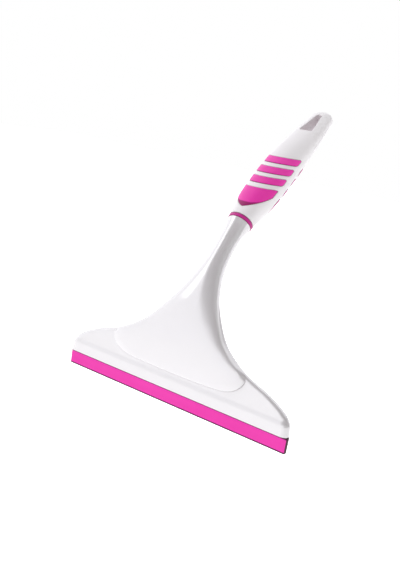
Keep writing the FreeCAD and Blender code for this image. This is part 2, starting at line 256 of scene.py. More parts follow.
def make_piece(name: str, points: Array, faces: Faces, crease: float = 38.0,
               shade: Array | None = None) -> Piece:
    """Object from points in millimetres, shaded smooth except across sharp edges.

    Args:
        name: Name of the piece.
        points: Points, in rows of three.
        faces: Corner numbers of each face.
        crease: Angle above which an edge stays sharp, in degrees.
        shade: How much painted shade each point gets, as in a dark gap, from 0 to 1.

    Returns:
        The new object, linked to the scene.
    """
    mesh = bpy.data.meshes.new(name)
    mesh.from_pydata((np.asarray(points).reshape(-1, 3) * MM).tolist(), [], faces)
    if shade is not None:
        shade_points(mesh, shade)
    return wrap_mesh(name, mesh, crease)


def shade_points(mesh: bpy.types.Mesh, shade: Array) -> None:
    """Store how much painted shade each point gets, for the material.

    Args:
        mesh: The mesh.
        shade: One value from 0 to 1 for each point.
    """
    layer = mesh.attributes.new("shade", "FLOAT", "POINT")
    layer.data.foreach_set("value", np.clip(np.asarray(shade, float).ravel(), 0, 1))


def wrap_mesh(name: str, mesh: bpy.types.Mesh, crease: float) -> Piece:
    """Clean a mesh, point its faces outwards, shade it and link it as an object.

    Args:
        name: Name of the piece.
        mesh: The mesh to use.
        crease: Angle above which an edge stays sharp, in degrees.

    Returns:
        The new object.
    """
    bm = bmesh.new()
    bm.from_mesh(mesh)
    bmesh.ops.remove_doubles(bm, verts=bm.verts, dist=WELD_DISTANCE)
    bmesh.ops.dissolve_degenerate(bm, edges=bm.edges, dist=SLIVER_LENGTH)
    bmesh.ops.recalc_face_normals(bm, faces=bm.faces)
    bm.to_mesh(mesh)
    bm.free()
    mesh.polygons.foreach_set("use_smooth", [True] * len(mesh.polygons))
    mesh.set_sharp_from_angle(angle=math.radians(crease))
    piece = bpy.data.objects.new(name, mesh)
    bpy.context.scene.collection.objects.link(piece)
    return piece


def settle(piece: Piece, crease: float) -> Piece:
    """Turn a piece's modifiers into mesh.

    Args:
        piece: Piece with modifiers.
        crease: Angle above which an edge stays sharp, in degrees.

    Returns:
        A new piece of the same name, without modifiers.
    """
    shown = piece.evaluated_get(bpy.context.evaluated_depsgraph_get())
    mesh = bpy.data.meshes.new_from_object(shown)
    name = piece.name
    bpy.data.objects.remove(piece)
    return wrap_mesh(name, mesh, crease)


def combine(piece: Piece, other: Piece, how: Joining) -> None:
    """Join another piece to one, or cut it away, and remove the other.

    Args:
        piece: Piece that is changed.
        other: Piece that is added or cut away.
        how: Whether it is added or cut away.
    """
    modifier = piece.modifiers.new(how.name.lower(), "BOOLEAN")
    modifier.operation = how.value
    modifier.solver = "EXACT"
    modifier.object = other
    bpy.context.view_layer.update()
    mesh = bpy.data.meshes.new_from_object(piece.evaluated_get(bpy.context.evaluated_depsgraph_get()))
    piece.modifiers.clear()
    piece.data = mesh
    bpy.data.objects.remove(other)


def dress(piece: Piece, finish: "Finish", body: str, *nodes: str) -> None:
    """Give a piece its finish and its body, and hide the CAD nodes it replaces.

    Args:
        piece: The finished piece.
        finish: Finish that gives the material; its slot is only logged.
        body: Body the piece moves with.
        nodes: CAD nodes it replaces.
    """
    piece.data.materials.clear()
    piece.data.materials.append(finish.material())
    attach(piece, body)
    if nodes:
        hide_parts(*nodes)
    log.info("%s: %d faces, %s", piece.name, len(piece.data.polygons), finish.slot)


@dataclass
class Nodes:
    """Short hand for adding shader nodes to one tree.

    Args:
        tree: The node tree.
    """

    tree: bpy.types.NodeTree

    def add(self, kind: str, **settings: object) -> bpy.types.Node:
        """Add a node.

        Args:
            kind: Node type.
            settings: Attributes to set on it.

        Returns:
            The node.
        """
        node = self.tree.nodes.new(kind)
        for key, value in settings.items():
            setattr(node, key, value)
        return node

    def link(self, source: Socket, target: Socket) -> None:
        """Join two sockets."""
        self.tree.links.new(source, target)

    def feed(self, node: bpy.types.Node, values: dict[str | int, object]) -> bpy.types.Node:
        """Give a node its inputs, each a plain value or a socket to link.

        Args:
            node: The node.
            values: Value or socket for each input, by its name or number.

        Returns:
            The same node.
        """
        for name, value in values.items():
            if isinstance(value, Socket):
                self.link(value, node.inputs[name])
            else:
                node.inputs[name].default_value = value
        return node

    def noise(self, where: Socket, scale: object, detail: float) -> Socket:
        """Noise pattern in object space.

        Args:
            where: Socket with the place.
            scale: Size of the pattern, in cells per metre, or a socket.
            detail: Number of finer layers.

        Returns:
            The pattern's value.
        """
        node = self.add("ShaderNodeTexNoise")
        return self.feed(node, {"Vector": where, "Scale": scale, "Detail": detail}).outputs["Fac"]

    def remap(self, value: Socket, low: object, high: object) -> Socket:
        """Stretch the middle range of a noise over a new range, whose ends may be sockets.

        Args:
            value: The value.
            low: Number or socket it becomes at the low end.
            high: Number or socket it becomes at the high end.

        Returns:
            The stretched value.
        """
        start, end = NOISE_RANGE
        node = self.add("ShaderNodeMapRange")
        self.feed(node, {"Value": value, "From Min": start, "From Max": end, "To Min": low, "To Max": high})
        return node.outputs["Result"]

    def ramp(self, value: Socket, start: float, end: float) -> Socket:
        """Soft step from 0 at the start to 1 at the end.

        Args:
            value: The value.
            start: Where the step starts.
            end: Where it ends, above or below the start.

        Returns:
            The stepped value.
        """
        (least, low), (most, high) = sorted(((start, 0.0), (end, 1.0)))
        node = self.add("ShaderNodeMapRange", interpolation_type="SMOOTHSTEP")
        self.feed(node, {"Value": value, "From Min": least, "From Max": most, "To Min": low, "To Max": high})
        return node.outputs["Result"]

    def mix(self, factor: Socket, low: object, high: object) -> Socket:
        """Blend two colours.

        Args:
            factor: 0 for the first and 1 for the second.
            low: First colour, or a socket.
            high: Second colour, or a socket.

        Returns:
            The blended colour.
        """
        node = self.add("ShaderNodeMix", data_type="RGBA")
        return self.feed(node, {"Factor": factor, 6: low, 7: high}).outputs[2]

    def times(self, first: Socket, second: Socket) -> Socket:
        """Product of two values."""
        node = self.add("ShaderNodeMath", operation="MULTIPLY")
        return self.feed(node, {0: first, 1: second}).outputs[0]


# The shared surface: cells per metre and finer layers of its noises, and how fast and how far the painted
# shade in corners darkens.
DRIFT_NOISE = (22.0, 3.0)
GLOSS_NOISE = (55.0, 5.0)
GRAIN_DETAIL = 2.0
CORNER_SAMPLES = 8
CORNER_POWER = 1.6
CORNER_START = 0.45


def surface_group() -> bpy.types.NodeTree:
    """Node group shared by all finishes: slow tint drift, uneven gloss, fine grain, painted shade in corners,
    and painted shade where the mesh's shade attribute marks it.

    Returns:
        The group, built the first time it is asked for.
    """
    name = "moulded surface"
    if name in bpy.data.node_groups:
        return bpy.data.node_groups[name]
    tree = bpy.data.node_groups.new(name, "ShaderNodeTree")
    sockets = (
        ("INPUT", "NodeSocketColor", ("Base", "Drift", "Corner", "Gap")),
        ("INPUT", "NodeSocketFloat", ("Corner Reach", "Gloss Low", "Gloss High", "Grain Scale")),
        ("OUTPUT", "NodeSocketColor", ("Color",)),
        ("OUTPUT", "NodeSocketFloat", ("Roughness", "Height")),
    )
    for way, kind, names in sockets:
        for socket in names:
            tree.interface.new_socket(socket, in_out=way, socket_type=kind)
    nodes = Nodes(tree)
    given = nodes.add("NodeGroupInput").outputs
    where = nodes.add("ShaderNodeTexCoord").outputs["Object"]
    drift = nodes.remap(nodes.noise(where, *DRIFT_NOISE), 0.0, 1.0)
    drifted = nodes.mix(drift, given["Base"], given["Drift"])
    # Painted corner shade: the colour goes towards the corner colour where ambient occlusion finds nearby
    # surfaces.
    corner = nodes.add("ShaderNodeAmbientOcclusion", samples=CORNER_SAMPLES, only_local=False)
    nodes.feed(corner, {"Distance": given["Corner Reach"]})
    open_air = nodes.add("ShaderNodeMath", operation="POWER", use_clamp=True)
    nodes.feed(open_air, {0: corner.outputs["AO"], 1: CORNER_POWER})
    shaded = nodes.mix(nodes.remap(open_air.outputs[0], CORNER_START, 1.0), given["Corner"], drifted)
    # Painted shade: the colour goes towards the group's shade colour where the mesh's shade attribute marks
    # gaps and edges.
    shade = nodes.add("ShaderNodeAttribute", attribute_name="shade", attribute_type="GEOMETRY")
    nodes.feed(nodes.add("NodeGroupOutput"), {
        "Color": nodes.mix(shade.outputs["Fac"], shaded, given["Gap"]),
        "Roughness": nodes.remap(nodes.noise(where, *GLOSS_NOISE), given["Gloss Low"], given["Gloss High"]),
        "Height": nodes.noise(where, given["Grain Scale"], GRAIN_DETAIL),
    })
    return tree


@dataclass(frozen=True)
class Finish:
    """How one material looks.

    Args:
        name: Name of the material.
        slot: The record's material slot.
        base: Main colour.
        drift: Colour it drifts to in places.
        corner: Colour of the painted shade in gaps and corners.
        corner_reach: How far the painted shade of a gap reaches onto its sides, in metres.
        gloss: Lowest and highest roughness.
        grain_scale: Grains per metre.
        grain_depth: Height of the grain, in metres.
        metallic: 1 for bare metal.
        coat: Weight of the clear gloss on top.
        coat_ior: How strongly that gloss reflects.
        coat_roughness: Softness of its reflections.
        sheen: Weight of the soft bloom on rubber.
        specular: Specular level.
        gap: Colour of the painted shade where the mesh is marked as lying in a dark gap.
        sheen_roughness: Softness of the bloom.
        bump: Strength of the grain.
    """

    name: str
    slot: str
    base: Color
    drift: Color
    corner: Color
    corner_reach: float
    gloss: tuple[float, float]
    grain_scale: float
    grain_depth: float
    metallic: float = 0.0
    coat: float = 0.0
    coat_ior: float = 1.5
    coat_roughness: float = 0.08
    sheen: float = 0.0
    specular: float = 0.5
    # Colour of painted shade, not of the material itself.
    gap: Color = (0.13, 0.002, 0.05, 1.0)
    sheen_roughness: float = 0.45
    bump: float = 0.5

    def material(self) -> bpy.types.Material:
        """The material, built the first time it is asked for.

        Returns:
            The material.
        """
        if self.name in bpy.data.materials:
            return bpy.data.materials[self.name]
        material = bpy.data.materials.new(self.name)
        material.use_nodes = True
        material.node_tree.nodes.clear()
        nodes = Nodes(material.node_tree)
        low, high = self.gloss
        surface = nodes.feed(nodes.add("ShaderNodeGroup", node_tree=surface_group()), {
            "Base": self.base, "Drift": self.drift, "Corner": self.corner, "Gap": self.gap,
            "Corner Reach": self.corner_reach, "Gloss Low": low, "Gloss High": high,
            "Grain Scale": self.grain_scale,
        })
        grain = nodes.feed(nodes.add("ShaderNodeBump"), {
            "Strength": self.bump, "Distance": self.grain_depth, "Height": surface.outputs["Height"],
        })
        shader = nodes.feed(nodes.add("ShaderNodeBsdfPrincipled"), {
            "Base Color": surface.outputs["Color"], "Roughness": surface.outputs["Roughness"],
            "Normal": grain.outputs["Normal"], "Metallic": self.metallic, "Specular IOR Level": self.specular,
            "Coat Weight": self.coat, "Coat Roughness": self.coat_roughness, "Coat IOR": self.coat_ior,
            "Sheen Weight": self.sheen, "Sheen Roughness": self.sheen_roughness,
        })
        nodes.feed(nodes.add("ShaderNodeOutputMaterial"), {"Surface": shader.outputs["BSDF"]})
        return material


# In every finish below, corner and gap are colours of painted shade, not colours of the material itself.
WHITE_PLASTIC = Finish(
    name="white_moulded_plastic", slot="white_plastic",
    base=(0.80, 0.79, 0.81, 1.0), drift=(0.815, 0.805, 0.82, 1.0), corner=(0.30, 0.24, 0.27, 1.0),
    corner_reach=0.0035, gloss=(0.16, 0.24), grain_scale=900.0, grain_depth=0.00001, coat=1.0, coat_ior=2.7,
    coat_roughness=0.1, gap=(0.30, 0.28, 0.28, 1.0),
)
# The handle's satin finish of the same white plastic: rougher and without a coat, and its base painted
# lighter than the head's to make up for the dimmer light on the handle.
SATIN_PLASTIC_PAINTED_LIGHTER = Finish(
    name="white_satin_plastic", slot="white_plastic",
    base=(0.94, 0.925, 0.94, 1.0), drift=(0.95, 0.94, 0.95, 1.0), corner=(0.30, 0.27, 0.26, 1.0),
    corner_reach=0.006, gloss=(0.34, 0.46), grain_scale=1300.0, grain_depth=0.00001, specular=0.4,
)
SOFT_PINK = Finish(
    name="soft_pink_rubber", slot="pink_rubber",
    base=(0.95, 0.05, 0.49, 1.0), drift=(0.92, 0.042, 0.45, 1.0), corner=(0.07, 0.001, 0.025, 1.0),
    corner_reach=0.0022, gloss=(0.42, 0.55), grain_scale=2600.0, grain_depth=0.00003, sheen=0.15,
    specular=0.35, gap=(0.30, 0.008, 0.12, 1.0),
)
BLADE_PINK = Finish(
    name="blade_pink_rubber", slot="blade_rubber",
    base=(0.87, 0.05, 0.445, 1.0), drift=(0.84, 0.044, 0.42, 1.0), corner=(0.03, 0.001, 0.012, 1.0),
    corner_reach=0.0018, gloss=(0.45, 0.6), grain_scale=3200.0, grain_depth=0.00002, specular=0.2,
    gap=(0.05, 0.001, 0.02, 1.0),
)
PLATED_STEEL = Finish(
    name="plated_screw_steel", slot="screw_steel",
    base=(0.62, 0.62, 0.64, 1.0), drift=(0.56, 0.56, 0.57, 1.0), corner=(0.12, 0.12, 0.12, 1.0),
    corner_reach=0.001, gloss=(0.22, 0.4), grain_scale=2400.0, grain_depth=0.00002, metallic=1.0,
)
SLEEVE_PLASTIC = Finish(
    name="plain_sleeve_plastic", slot="sleeve_plastic",
    base=(0.72, 0.71, 0.73, 1.0), drift=(0.68, 0.67, 0.69, 1.0), corner=(0.35, 0.34, 0.35, 1.0),
    corner_reach=0.002, gloss=(0.4, 0.55), grain_scale=1500.0, grain_depth=0.00003,
)


@dataclass
class Head:
    """Flared head: a wing with the blade's channel, the back of the neck, and a raised front cover.

    Args:
        spine: The tool's middle line.
        top: Where the neck ends, at the collar ring.
        wing_half_width: Half width of the wing plate.
        wing_half_thickness: Half thickness of the wing plate.
        half_width: Half width of neck and cover.
        front: Depth of neck and cover in front of the spine.
        back: Depth of the neck behind the spine.
        squareness: How square the front of the section is.
        seam: How far in front of the spine the two shells meet.
        seam_gap: Half the gap that shows at the seam.
        edge_radius: Rounding of the cover's foot.
        foot: The cover's foot from the middle outwards, as distance to the side and height.
        foot_rows: Rows of points of the foot that lie in the gap at the wing.
        foot_tone: How much painted shade those rows get.
        root_depth: How far the foot's hidden edge lies behind the spine.
        crowding: How much closer the wing's sections lie near the lip.
        near_curl: How far in and back the cover's side edges turn at first.
        far_curl: How far in and back they end.
        channel_slack: Room left round the blade in its channel.
        web_half: Half thickness of the blade's web.
        bead_half: Half width of the blade's bead.
        web_height: Height of the web above the lip.
        bead_height: Height of the bead.
        channel_start: Where the channel's cutter starts, beyond the open end.
        channel_end: Where the channel is closed.
        channel_low: Height at which the cutter starts, below the lip.
    """

    spine: Spine
    top: float = 162.4
    wing_half_width: Profile = Profile((
        (0, 120.0), (8.5, 119.2), (14.5, 115.6), (19.5, 109.2), (24, 101.0), (28, 91.8), (31.4, 81.6),
        (35.6, 70.6), (42.4, 58.0), (54, 42.9), (74, 27.7), (86, 20.4), (98, 14.0),
    ))
    wing_half_thickness: Profile = Profile((
        (0, 5.45), (8.2, 5.45), (13.2, 3.9), (24, 3.3), (36, 2.8), (98, 2.6),
    ))
    half_width: Profile = Profile((
        (10, 84.0), (34, 71.0), (42.4, 56.8), (54, 41.7), (66, 32.2), (76, 25.8), (88, 19.4), (100, 14.7),
        (112, 11.2), (122, 9.5), (134, 8.8), (148, 9.2), (157, 10.2), (162.4, 11.7),
    ))
    front: Profile = Profile((
        (10, 5.2), (20, 6.2), (34, 7.4), (50, 8.8), (64, 9.7), (84, 10.3), (100, 10.4), (114, 9.7),
        (134, 8.8), (148, 9.1), (157, 10.0), (162.4, 11.3),
    ))
    back: Profile = Profile((
        (10, 3.0), (34, 4.6), (50, 6.8), (66, 8.8), (88, 10.1), (104, 10.1), (118, 9.4), (134, 8.8),
        (148, 9.2), (157, 10.1), (162.4, 11.3),
    ))
    squareness: Profile = Profile(((10, 4.5), (34, 4.0), (60, 3.0), (90, 2.3), (120, 2.0)))
    seam: Profile = Profile(((10, 3.2), (24, 2.5), (36, 2.0), (60, 1.2), (100, 0.0), (162.4, 0.0)))
    seam_gap: float = 0.06
    edge_radius: float = 1.4
    foot: Keys = (
        (0, 29.2), (31, 29.5), (47, 30.3), (57, 31.8), (63.6, 34.4), (67.9, 37.5), (70.8, 41.2), (72.4, 45.0),
        (72.9, 50.0), (72.9, 56.0),
    )
    foot_rows: int = 4
    foot_tone: float = 0.6
    root_depth: float = 1.2
    crowding: float = 1.35
    near_curl: tuple[float, float] = (0.12, 0.05)
    far_curl: tuple[float, float] = (2.0, 0.6)
    channel_slack: float = 0.12
    web_half: float = 2.15
    bead_half: float = 3.65
    web_height: float = 3.0
    bead_height: float = 4.0
    channel_start: float = -140.0
    channel_end: float = 114.0
    channel_low: float = 5.0

    def seam_turn(self, s: Array, level: Array) -> Array:
        """Angle at which the front of the section comes down to a level in front of the spine.

        Args:
            s: Distances along the spine.
            level: Level at each distance.

        Returns:
            The angle from straight ahead, in radians.
        """
        power = self.squareness.at(s)
        ahead = np.clip(level / self.front.at(s), 0.0, 0.999)
        side = (1 - ahead ** power) ** (1 / power)
        return np.arctan2(side, ahead)

    def front_point(self, s: Array, turn: Array, sunk: Array | float = 0.0) -> Array:
        """Point on the front of the section.

        Args:
            s: Distances along the spine.
            turn: Angles from straight ahead.
            sunk: How far the point is lowered towards the spine.

        Returns:
            The points.
        """
        side, ahead = squircle(turn, self.squareness.at(s))
        return self.spine.place(s, self.half_width.at(s) * side, self.front.at(s) * ahead - sunk)

    def front_height(self, s: Array, x: Array) -> Array:
        """How far the front surface stands out of the spine at a distance to the side.

        Args:
            s: Distances along the spine.
            x: Distances to the side.

        Returns:
            The height, 0 beyond the section's side.
        """
        power = self.squareness.at(s)
        side = np.clip(np.abs(x) / self.half_width.at(s), 0, 1)
        return self.front.at(s) * (1 - side ** power) ** (1 / power)

    def wing(self, rows: int = 150, across: int = 150, round_steps: int = 14) -> Piece:
        """Wing plate with rounded ends, as level sections from the lip upwards.

        Args:
            rows: Number of sections.
            across: Points along each long side.
            round_steps: Points round each end.

        Returns:
            The closed piece.
        """
        s = np.linspace(0, 1, rows) ** self.crowding * self.wing_half_width.keys[-1][0]
        half = self.wing_half_width.at(s)
        thick = self.wing_half_thickness.at(s)
        low = np.maximum(s - 0.5, 0)
        slope = (self.wing_half_width.at(s + 0.5) - self.wing_half_width.at(low)) / (s + 0.5 - low)
        reach = np.minimum(thick * np.sqrt(1 + slope * slope), half * 0.6)
        base = self.spine.place(s, 0.0, 0.0)
        line = np.linspace(-1, 1, across)
        turn = np.linspace(-np.pi / 2, np.pi / 2, round_steps + 2)[1:-1]
        flat = half - reach
        front_x = np.concatenate([flat[:, None] * line, flat[:, None] + reach[:, None] * np.cos(turn)], 1)
        front_y = np.concatenate([-thick[:, None] * np.ones(across), thick[:, None] * np.sin(turn)], 1)
        x = np.concatenate([front_x, -front_x], 1)
        y = np.concatenate([front_y, -front_y], 1)
        points = np.stack([x, base[:, 1:2] + y, np.broadcast_to(base[:, 2:3], x.shape)], -1)
        return make_piece("wing", points, tube_faces(rows, x.shape[1]))

    def neck_back(self, rows: int = 130, columns: int = 72) -> Piece:
        """Back half of the neck, closed by a flat strip at the seam.

        Args:
            rows: Number of sections.
            columns: Points round each section.

        Returns:
            The closed piece.
        """
        s = np.linspace(10, self.top, rows)[:, None]
        seam = self.seam_turn(s, self.seam.at(s) - self.seam_gap)
        turn = seam + (2 * np.pi - 2 * seam) * np.linspace(0, 1, columns)
        ahead = np.cos(turn) > 0
        side_f, ahead_f = squircle(turn, np.broadcast_to(self.squareness.at(s), turn.shape))
        side_b, ahead_b = squircle(turn, ELLIPSE)
        x = self.half_width.at(s) * np.where(ahead, side_f, side_b)
        forward = np.where(ahead, self.front.at(s) * ahead_f, self.back.at(s) * ahead_b)
        return make_piece("neck_back", self.spine.place(s, x, forward), tube_faces(rows, columns))

    def channel_cutter(self) -> Piece:
        """T-shaped bar that cuts the blade's channel, open at -X and closed at +X.

        Returns:
            The closed piece.
        """
        web = self.web_half + self.channel_slack
        bead = self.bead_half + self.channel_slack
        neck_top = self.spine.lip_height + self.web_height - self.channel_slack
        top = self.spine.lip_height + self.web_height + self.bead_height + self.channel_slack
        half = ((web, self.channel_low), (web, neck_top), (bead, neck_top), (bead, top))
        outline = half + tuple((-y, z) for y, z in half[::-1])
        points = [(x, y, z) for x in (self.channel_start, self.channel_end) for y, z in outline]
        return make_piece("channel", np.array(points), tube_faces(2, len(outline)))

    def back_shell(self) -> Piece:
        """Wing and back of the neck as one skin, with the blade's channel cut in its lip.

        Returns:
            The piece.
        """
        shell = self.wing()
        combine(shell, self.neck_back(), Joining.ADD)
        combine(shell, self.channel_cutter(), Joining.CUT)
        mesh = shell.data
        bpy.data.objects.remove(shell)
        return wrap_mesh("head_back", mesh, crease=32.0)

    def foot_line(self, inset: float, columns: int) -> tuple[Array, Array]:
        """The cover's foot between the two places where it runs into the seam.

        Args:
            inset: Distance it is moved up into the cover.
            columns: Number of points.

        Returns:
            Distance along the spine and angle of each point.
        """
        keys = np.asarray(self.foot, float)
        both = np.concatenate([keys[:0:-1] * [-1, 1], keys])
        chord = distance_along(both)
        ends = np.gradient(both, chord, axis=0)
        t = np.linspace(0, chord[-1], 3001)
        i = np.clip(np.searchsorted(chord, t, "right") - 1, 0, len(chord) - 2)
        gap = (chord[i + 1] - chord[i])[:, None]
        u = (t[:, None] - chord[i][:, None]) / gap
        line = smooth_between(both[i], both[i + 1], ends[i] * gap, ends[i + 1] * gap, u)
        run = np.gradient(line, axis=0)
        run /= np.linalg.norm(run, axis=1)[:, None]
        line = line + inset * np.stack([-run[:, 1], run[:, 0]], 1)
        x, z = line[:, 0], line[:, 1]
        s = self.spine.distance_at_height(z, lambda at: self.front_height(at, x))
        limit = squircle(self.seam_turn(s, self.seam.at(s) + self.seam_gap), self.squareness.at(s))[0]
        inside = np.abs(x) / self.half_width.at(s) < limit
        middle = len(t) // 2
        last = middle + int(np.argmin(inside[middle:]))
        reach = t[last] - t[middle]
        wanted = t[middle] + reach * np.linspace(-1, 1, columns)
        x, s = np.interp(wanted, t, x), np.interp(wanted, t, s)
        power = self.squareness.at(s)
        side = np.clip(np.abs(x) / self.half_width.at(s), 0, 0.99999)
        return s, np.sign(x) * np.arctan2(side, (1 - side ** power) ** (1 / power))

    def cover(self, columns: int = 170, rows: int = 130) -> Piece:
        """Raised front cover with a rounded foot, from the wing up to the collar ring.

        Args:
            columns: Points across it.
            rows: Rows above the rounded foot.

        Returns:
            The piece.
        """
        radius = self.edge_radius
        layers = []
        for turn_in in np.radians((0, 0, 15, 30, 45, 60, 75)):
            s, turn = self.foot_line(radius * (1 - math.cos(turn_in)), columns)
            sunk = radius * (1 - math.sin(turn_in))
            if not layers:
                x = self.half_width.at(s) * squircle(turn, self.squareness.at(s))[0]
                sunk = self.front_height(s, x) - self.root_depth
            layers.append(self.front_point(s, turn, sunk))
        s_low, turn_low = self.foot_line(radius, columns)
        share = turn_low / turn_low[-1]
        across = np.linspace(-1, 1, columns)
        for rise in np.linspace(0, 1, rows):
            s = s_low + (self.top - s_low) * rise
            limit = self.seam_turn(s, self.seam.at(s) + self.seam_gap)
            settled = min(rise / 0.5, 1.0)
            ease = settled * settled * (3 - 2 * settled)
            turn = limit * (share * (1 - ease) + across * ease)
            layers.append(self.front_point(s, turn))
        body = self.curl_in(np.array(layers))
        # Painted shade on the lowest rows of the cover's foot, where it meets the wing.
        shade = np.zeros(body.shape[:2])
        shade[:self.foot_rows] = self.foot_tone
        faces = grid_faces(body.shape[0], body.shape[1], False)
        return make_piece("head_cover", body, faces, crease=50.0, shade=shade)

    def curl_in(self, body: Array) -> Array:
        """Add a short lip along both sides of a grid, turned in behind the seam.

        Args:
            body: Grid of points, rows running across the tool.

        Returns:
            The wider grid.
        """
        mirror = np.array([-1.0, 1.0, 1.0])
        near = np.array([*self.near_curl, 0.0])
        far = np.array([*self.far_curl, 0.0])
        left, right = body[:, :1], body[:, -1:]
        return np.concatenate([left + far, left + near, body, right + near * mirror, right + far * mirror], 1)

    def build(self) -> None:
        """Make and dress the head's pieces."""
        dress(self.back_shell(), WHITE_PLASTIC, HEAD_BODY, "head_back_shell")
        dress(self.cover(), WHITE_PLASTIC, HEAD_BODY, "head_front_shell")


@dataclass
class Collar:
    """Soft ring between the neck and the handle.

    Args:
        spine: The tool's middle line.
        low: Lower face.
        high: Upper face.
        radius: Outer radius sideways.
        depth: Outer radius front to back.
        round_off: Rounding of its two rims.
        tone: How much painted shade its outside gets between the two rims, which get full painted shade.
        clearance: Room between its end faces and its neighbours.
        core: How far in from the outside its end faces reach.
    """

    spine: Spine
    low: float = 162.4
    high: float = 166.3
    radius: float = 12.25
    depth: float = 11.85
    round_off: float = 0.8
    tone: float = 0.5
    clearance: float = 0.15
    core: float = 4.0

    def build(self, columns: int = 160) -> None:
        """Make and dress the ring.

        Args:
            columns: Points round it.
        """
        turn = np.linspace(0, 2 * np.pi, columns, endpoint=False)
        bend = np.radians((0, 18, 36, 54, 72, 90))
        low, high = self.low + self.clearance, self.high - self.clearance
        eased = [(self.round_off * (1 - math.sin(b)), self.round_off * (1 - math.cos(b))) for b in bend]
        rows = [(low, self.core)]
        rows += [(low + along, cut) for along, cut in eased[::-1]]
        rows += [(high - along, cut) for along, cut in eased]
        rows += [(high, self.core)]
        side, ahead = squircle(turn, ELLIPSE)
        points = []
        for s, cut in rows:
            points.append(self.spine.place(s, (self.radius - cut) * side, (self.depth - cut) * ahead))
        faces = grid_faces(len(rows), columns, True)
        last = (len(rows) - 1) * columns
        faces += [(j, (j + 1) % columns, last + (j + 1) % columns, last + j) for j in range(columns)]
        # Painted shade: full on the rounded rims and end faces, partial on the outside between them.
        shade = np.array([1.0 if cut > 0.1 else self.tone for _, cut in rows])[:, None] * np.ones(columns)
        ring = make_piece("collar", np.array(points), faces, crease=60.0, shade=shade)
        dress(ring, SOFT_PINK, HEAD_BODY, "collar_ring")


@dataclass
class Grip:
    """Outer surface of the handle.

    Args:
        spine: The tool's middle line.
        low: Where it starts, above the collar ring.
        tip: Where it ends.
        half_width: Half width along it.
        half_depth: Half depth along it.
        squareness: How square its section is.
    """

    spine: Spine
    low: float = 166.3
    tip: float = 329.2
    half_width: Profile = Profile((
        (166.3, 12.2), (178, 14.1), (190, 16.1), (205, 17.2), (219, 17.7), (234, 17.6), (249, 17.4),
        (265, 17.0), (282, 16.1), (300, 14.5), (317, 12.3),
    ))
    half_depth: Profile = Profile((
        (166.3, 11.8), (178, 12.8), (190, 14.1), (205, 14.9), (219, 15.3), (234, 15.1), (249, 14.5),
        (265, 12.9), (282, 10.7), (300, 8.7), (317, 7.6),
    ))
    squareness: float = 2.2

    def shrink(self, s: Array) -> Array:
        """Share of the section that is left in the rounded end.

        Args:
            s: Distances along the spine.

        Returns:
            1 along the handle, falling to 0 at the tip.
        """
        radius = self.half_width.keys[-1][1]
        past = np.clip((np.asarray(s, float) - (self.tip - radius)) / radius, 0, 1)
        return np.sqrt(1 - past * past)

    def point(self, s: Array, turn: Array, out: Array | float = 0.0) -> Array:
        """Point on the surface, or a little above or below it.

        Args:
            s: Distances along the spine.
            turn: Angles from straight ahead.
            out: Distance above the surface.

        Returns:
            The points.
        """
        side, ahead = squircle(turn, self.squareness)
        left = self.shrink(s)
        return self.spine.place(
            s, (self.half_width.at(s) * left + out) * side, (self.half_depth.at(s) * left + out) * ahead)

    def level_distance(self, height: Array, turn: Array) -> Array:
        """Distance along the spine at which the surface reaches a height.

        Args:
            height: Heights above the wiping edge.
            turn: Angles from straight ahead.

        Returns:
            The distances.
        """
        ahead = squircle(turn, self.squareness)[1]
        return self.spine.distance_at_height(height, lambda s: self.half_depth.at(s) * self.shrink(s) * ahead)


def rounded_rectangle(half_long: float, half_tall: float, radius: float) -> Array:
    """Closed outline of a rectangle with round corners, the same number of points for any size.

    Args:
        half_long: Half its length.
        half_tall: Half its height.
        radius: Corner radius.

    Returns:
        The points, one per row.
    """
    fullest = 0.98
    corner_steps, long_steps, short_steps = 13, 60, 14
    radius = min(radius, half_tall * fullest, half_long * fullest)
    corners = ((1, 1, 0), (-1, 1, 90), (-1, -1, 180), (1, -1, 270))
    points = []
    for i, (sx, sy, start) in enumerate(corners):
        bend = np.radians(start + np.linspace(0, 90, corner_steps))
        middle = np.array([sx * (half_long - radius), sy * (half_tall - radius)])
        arc = middle + radius * np.stack([np.cos(bend), np.sin(bend)], 1)
        points.append(arc)
        nx, ny, _ = corners[(i + 1) % 4]
        turned = np.radians(start + 90)
        ahead = np.array([nx * (half_long - radius), ny * (half_tall - radius)])
        target = ahead + radius * np.array([np.cos(turned), np.sin(turned)])
        count = long_steps if sy == ny else short_steps
        share = np.linspace(0, 1, count + 2)[1:-1, None]
        points.append(arc[-1] + (target - arc[-1]) * share)
    return np.concatenate(points)


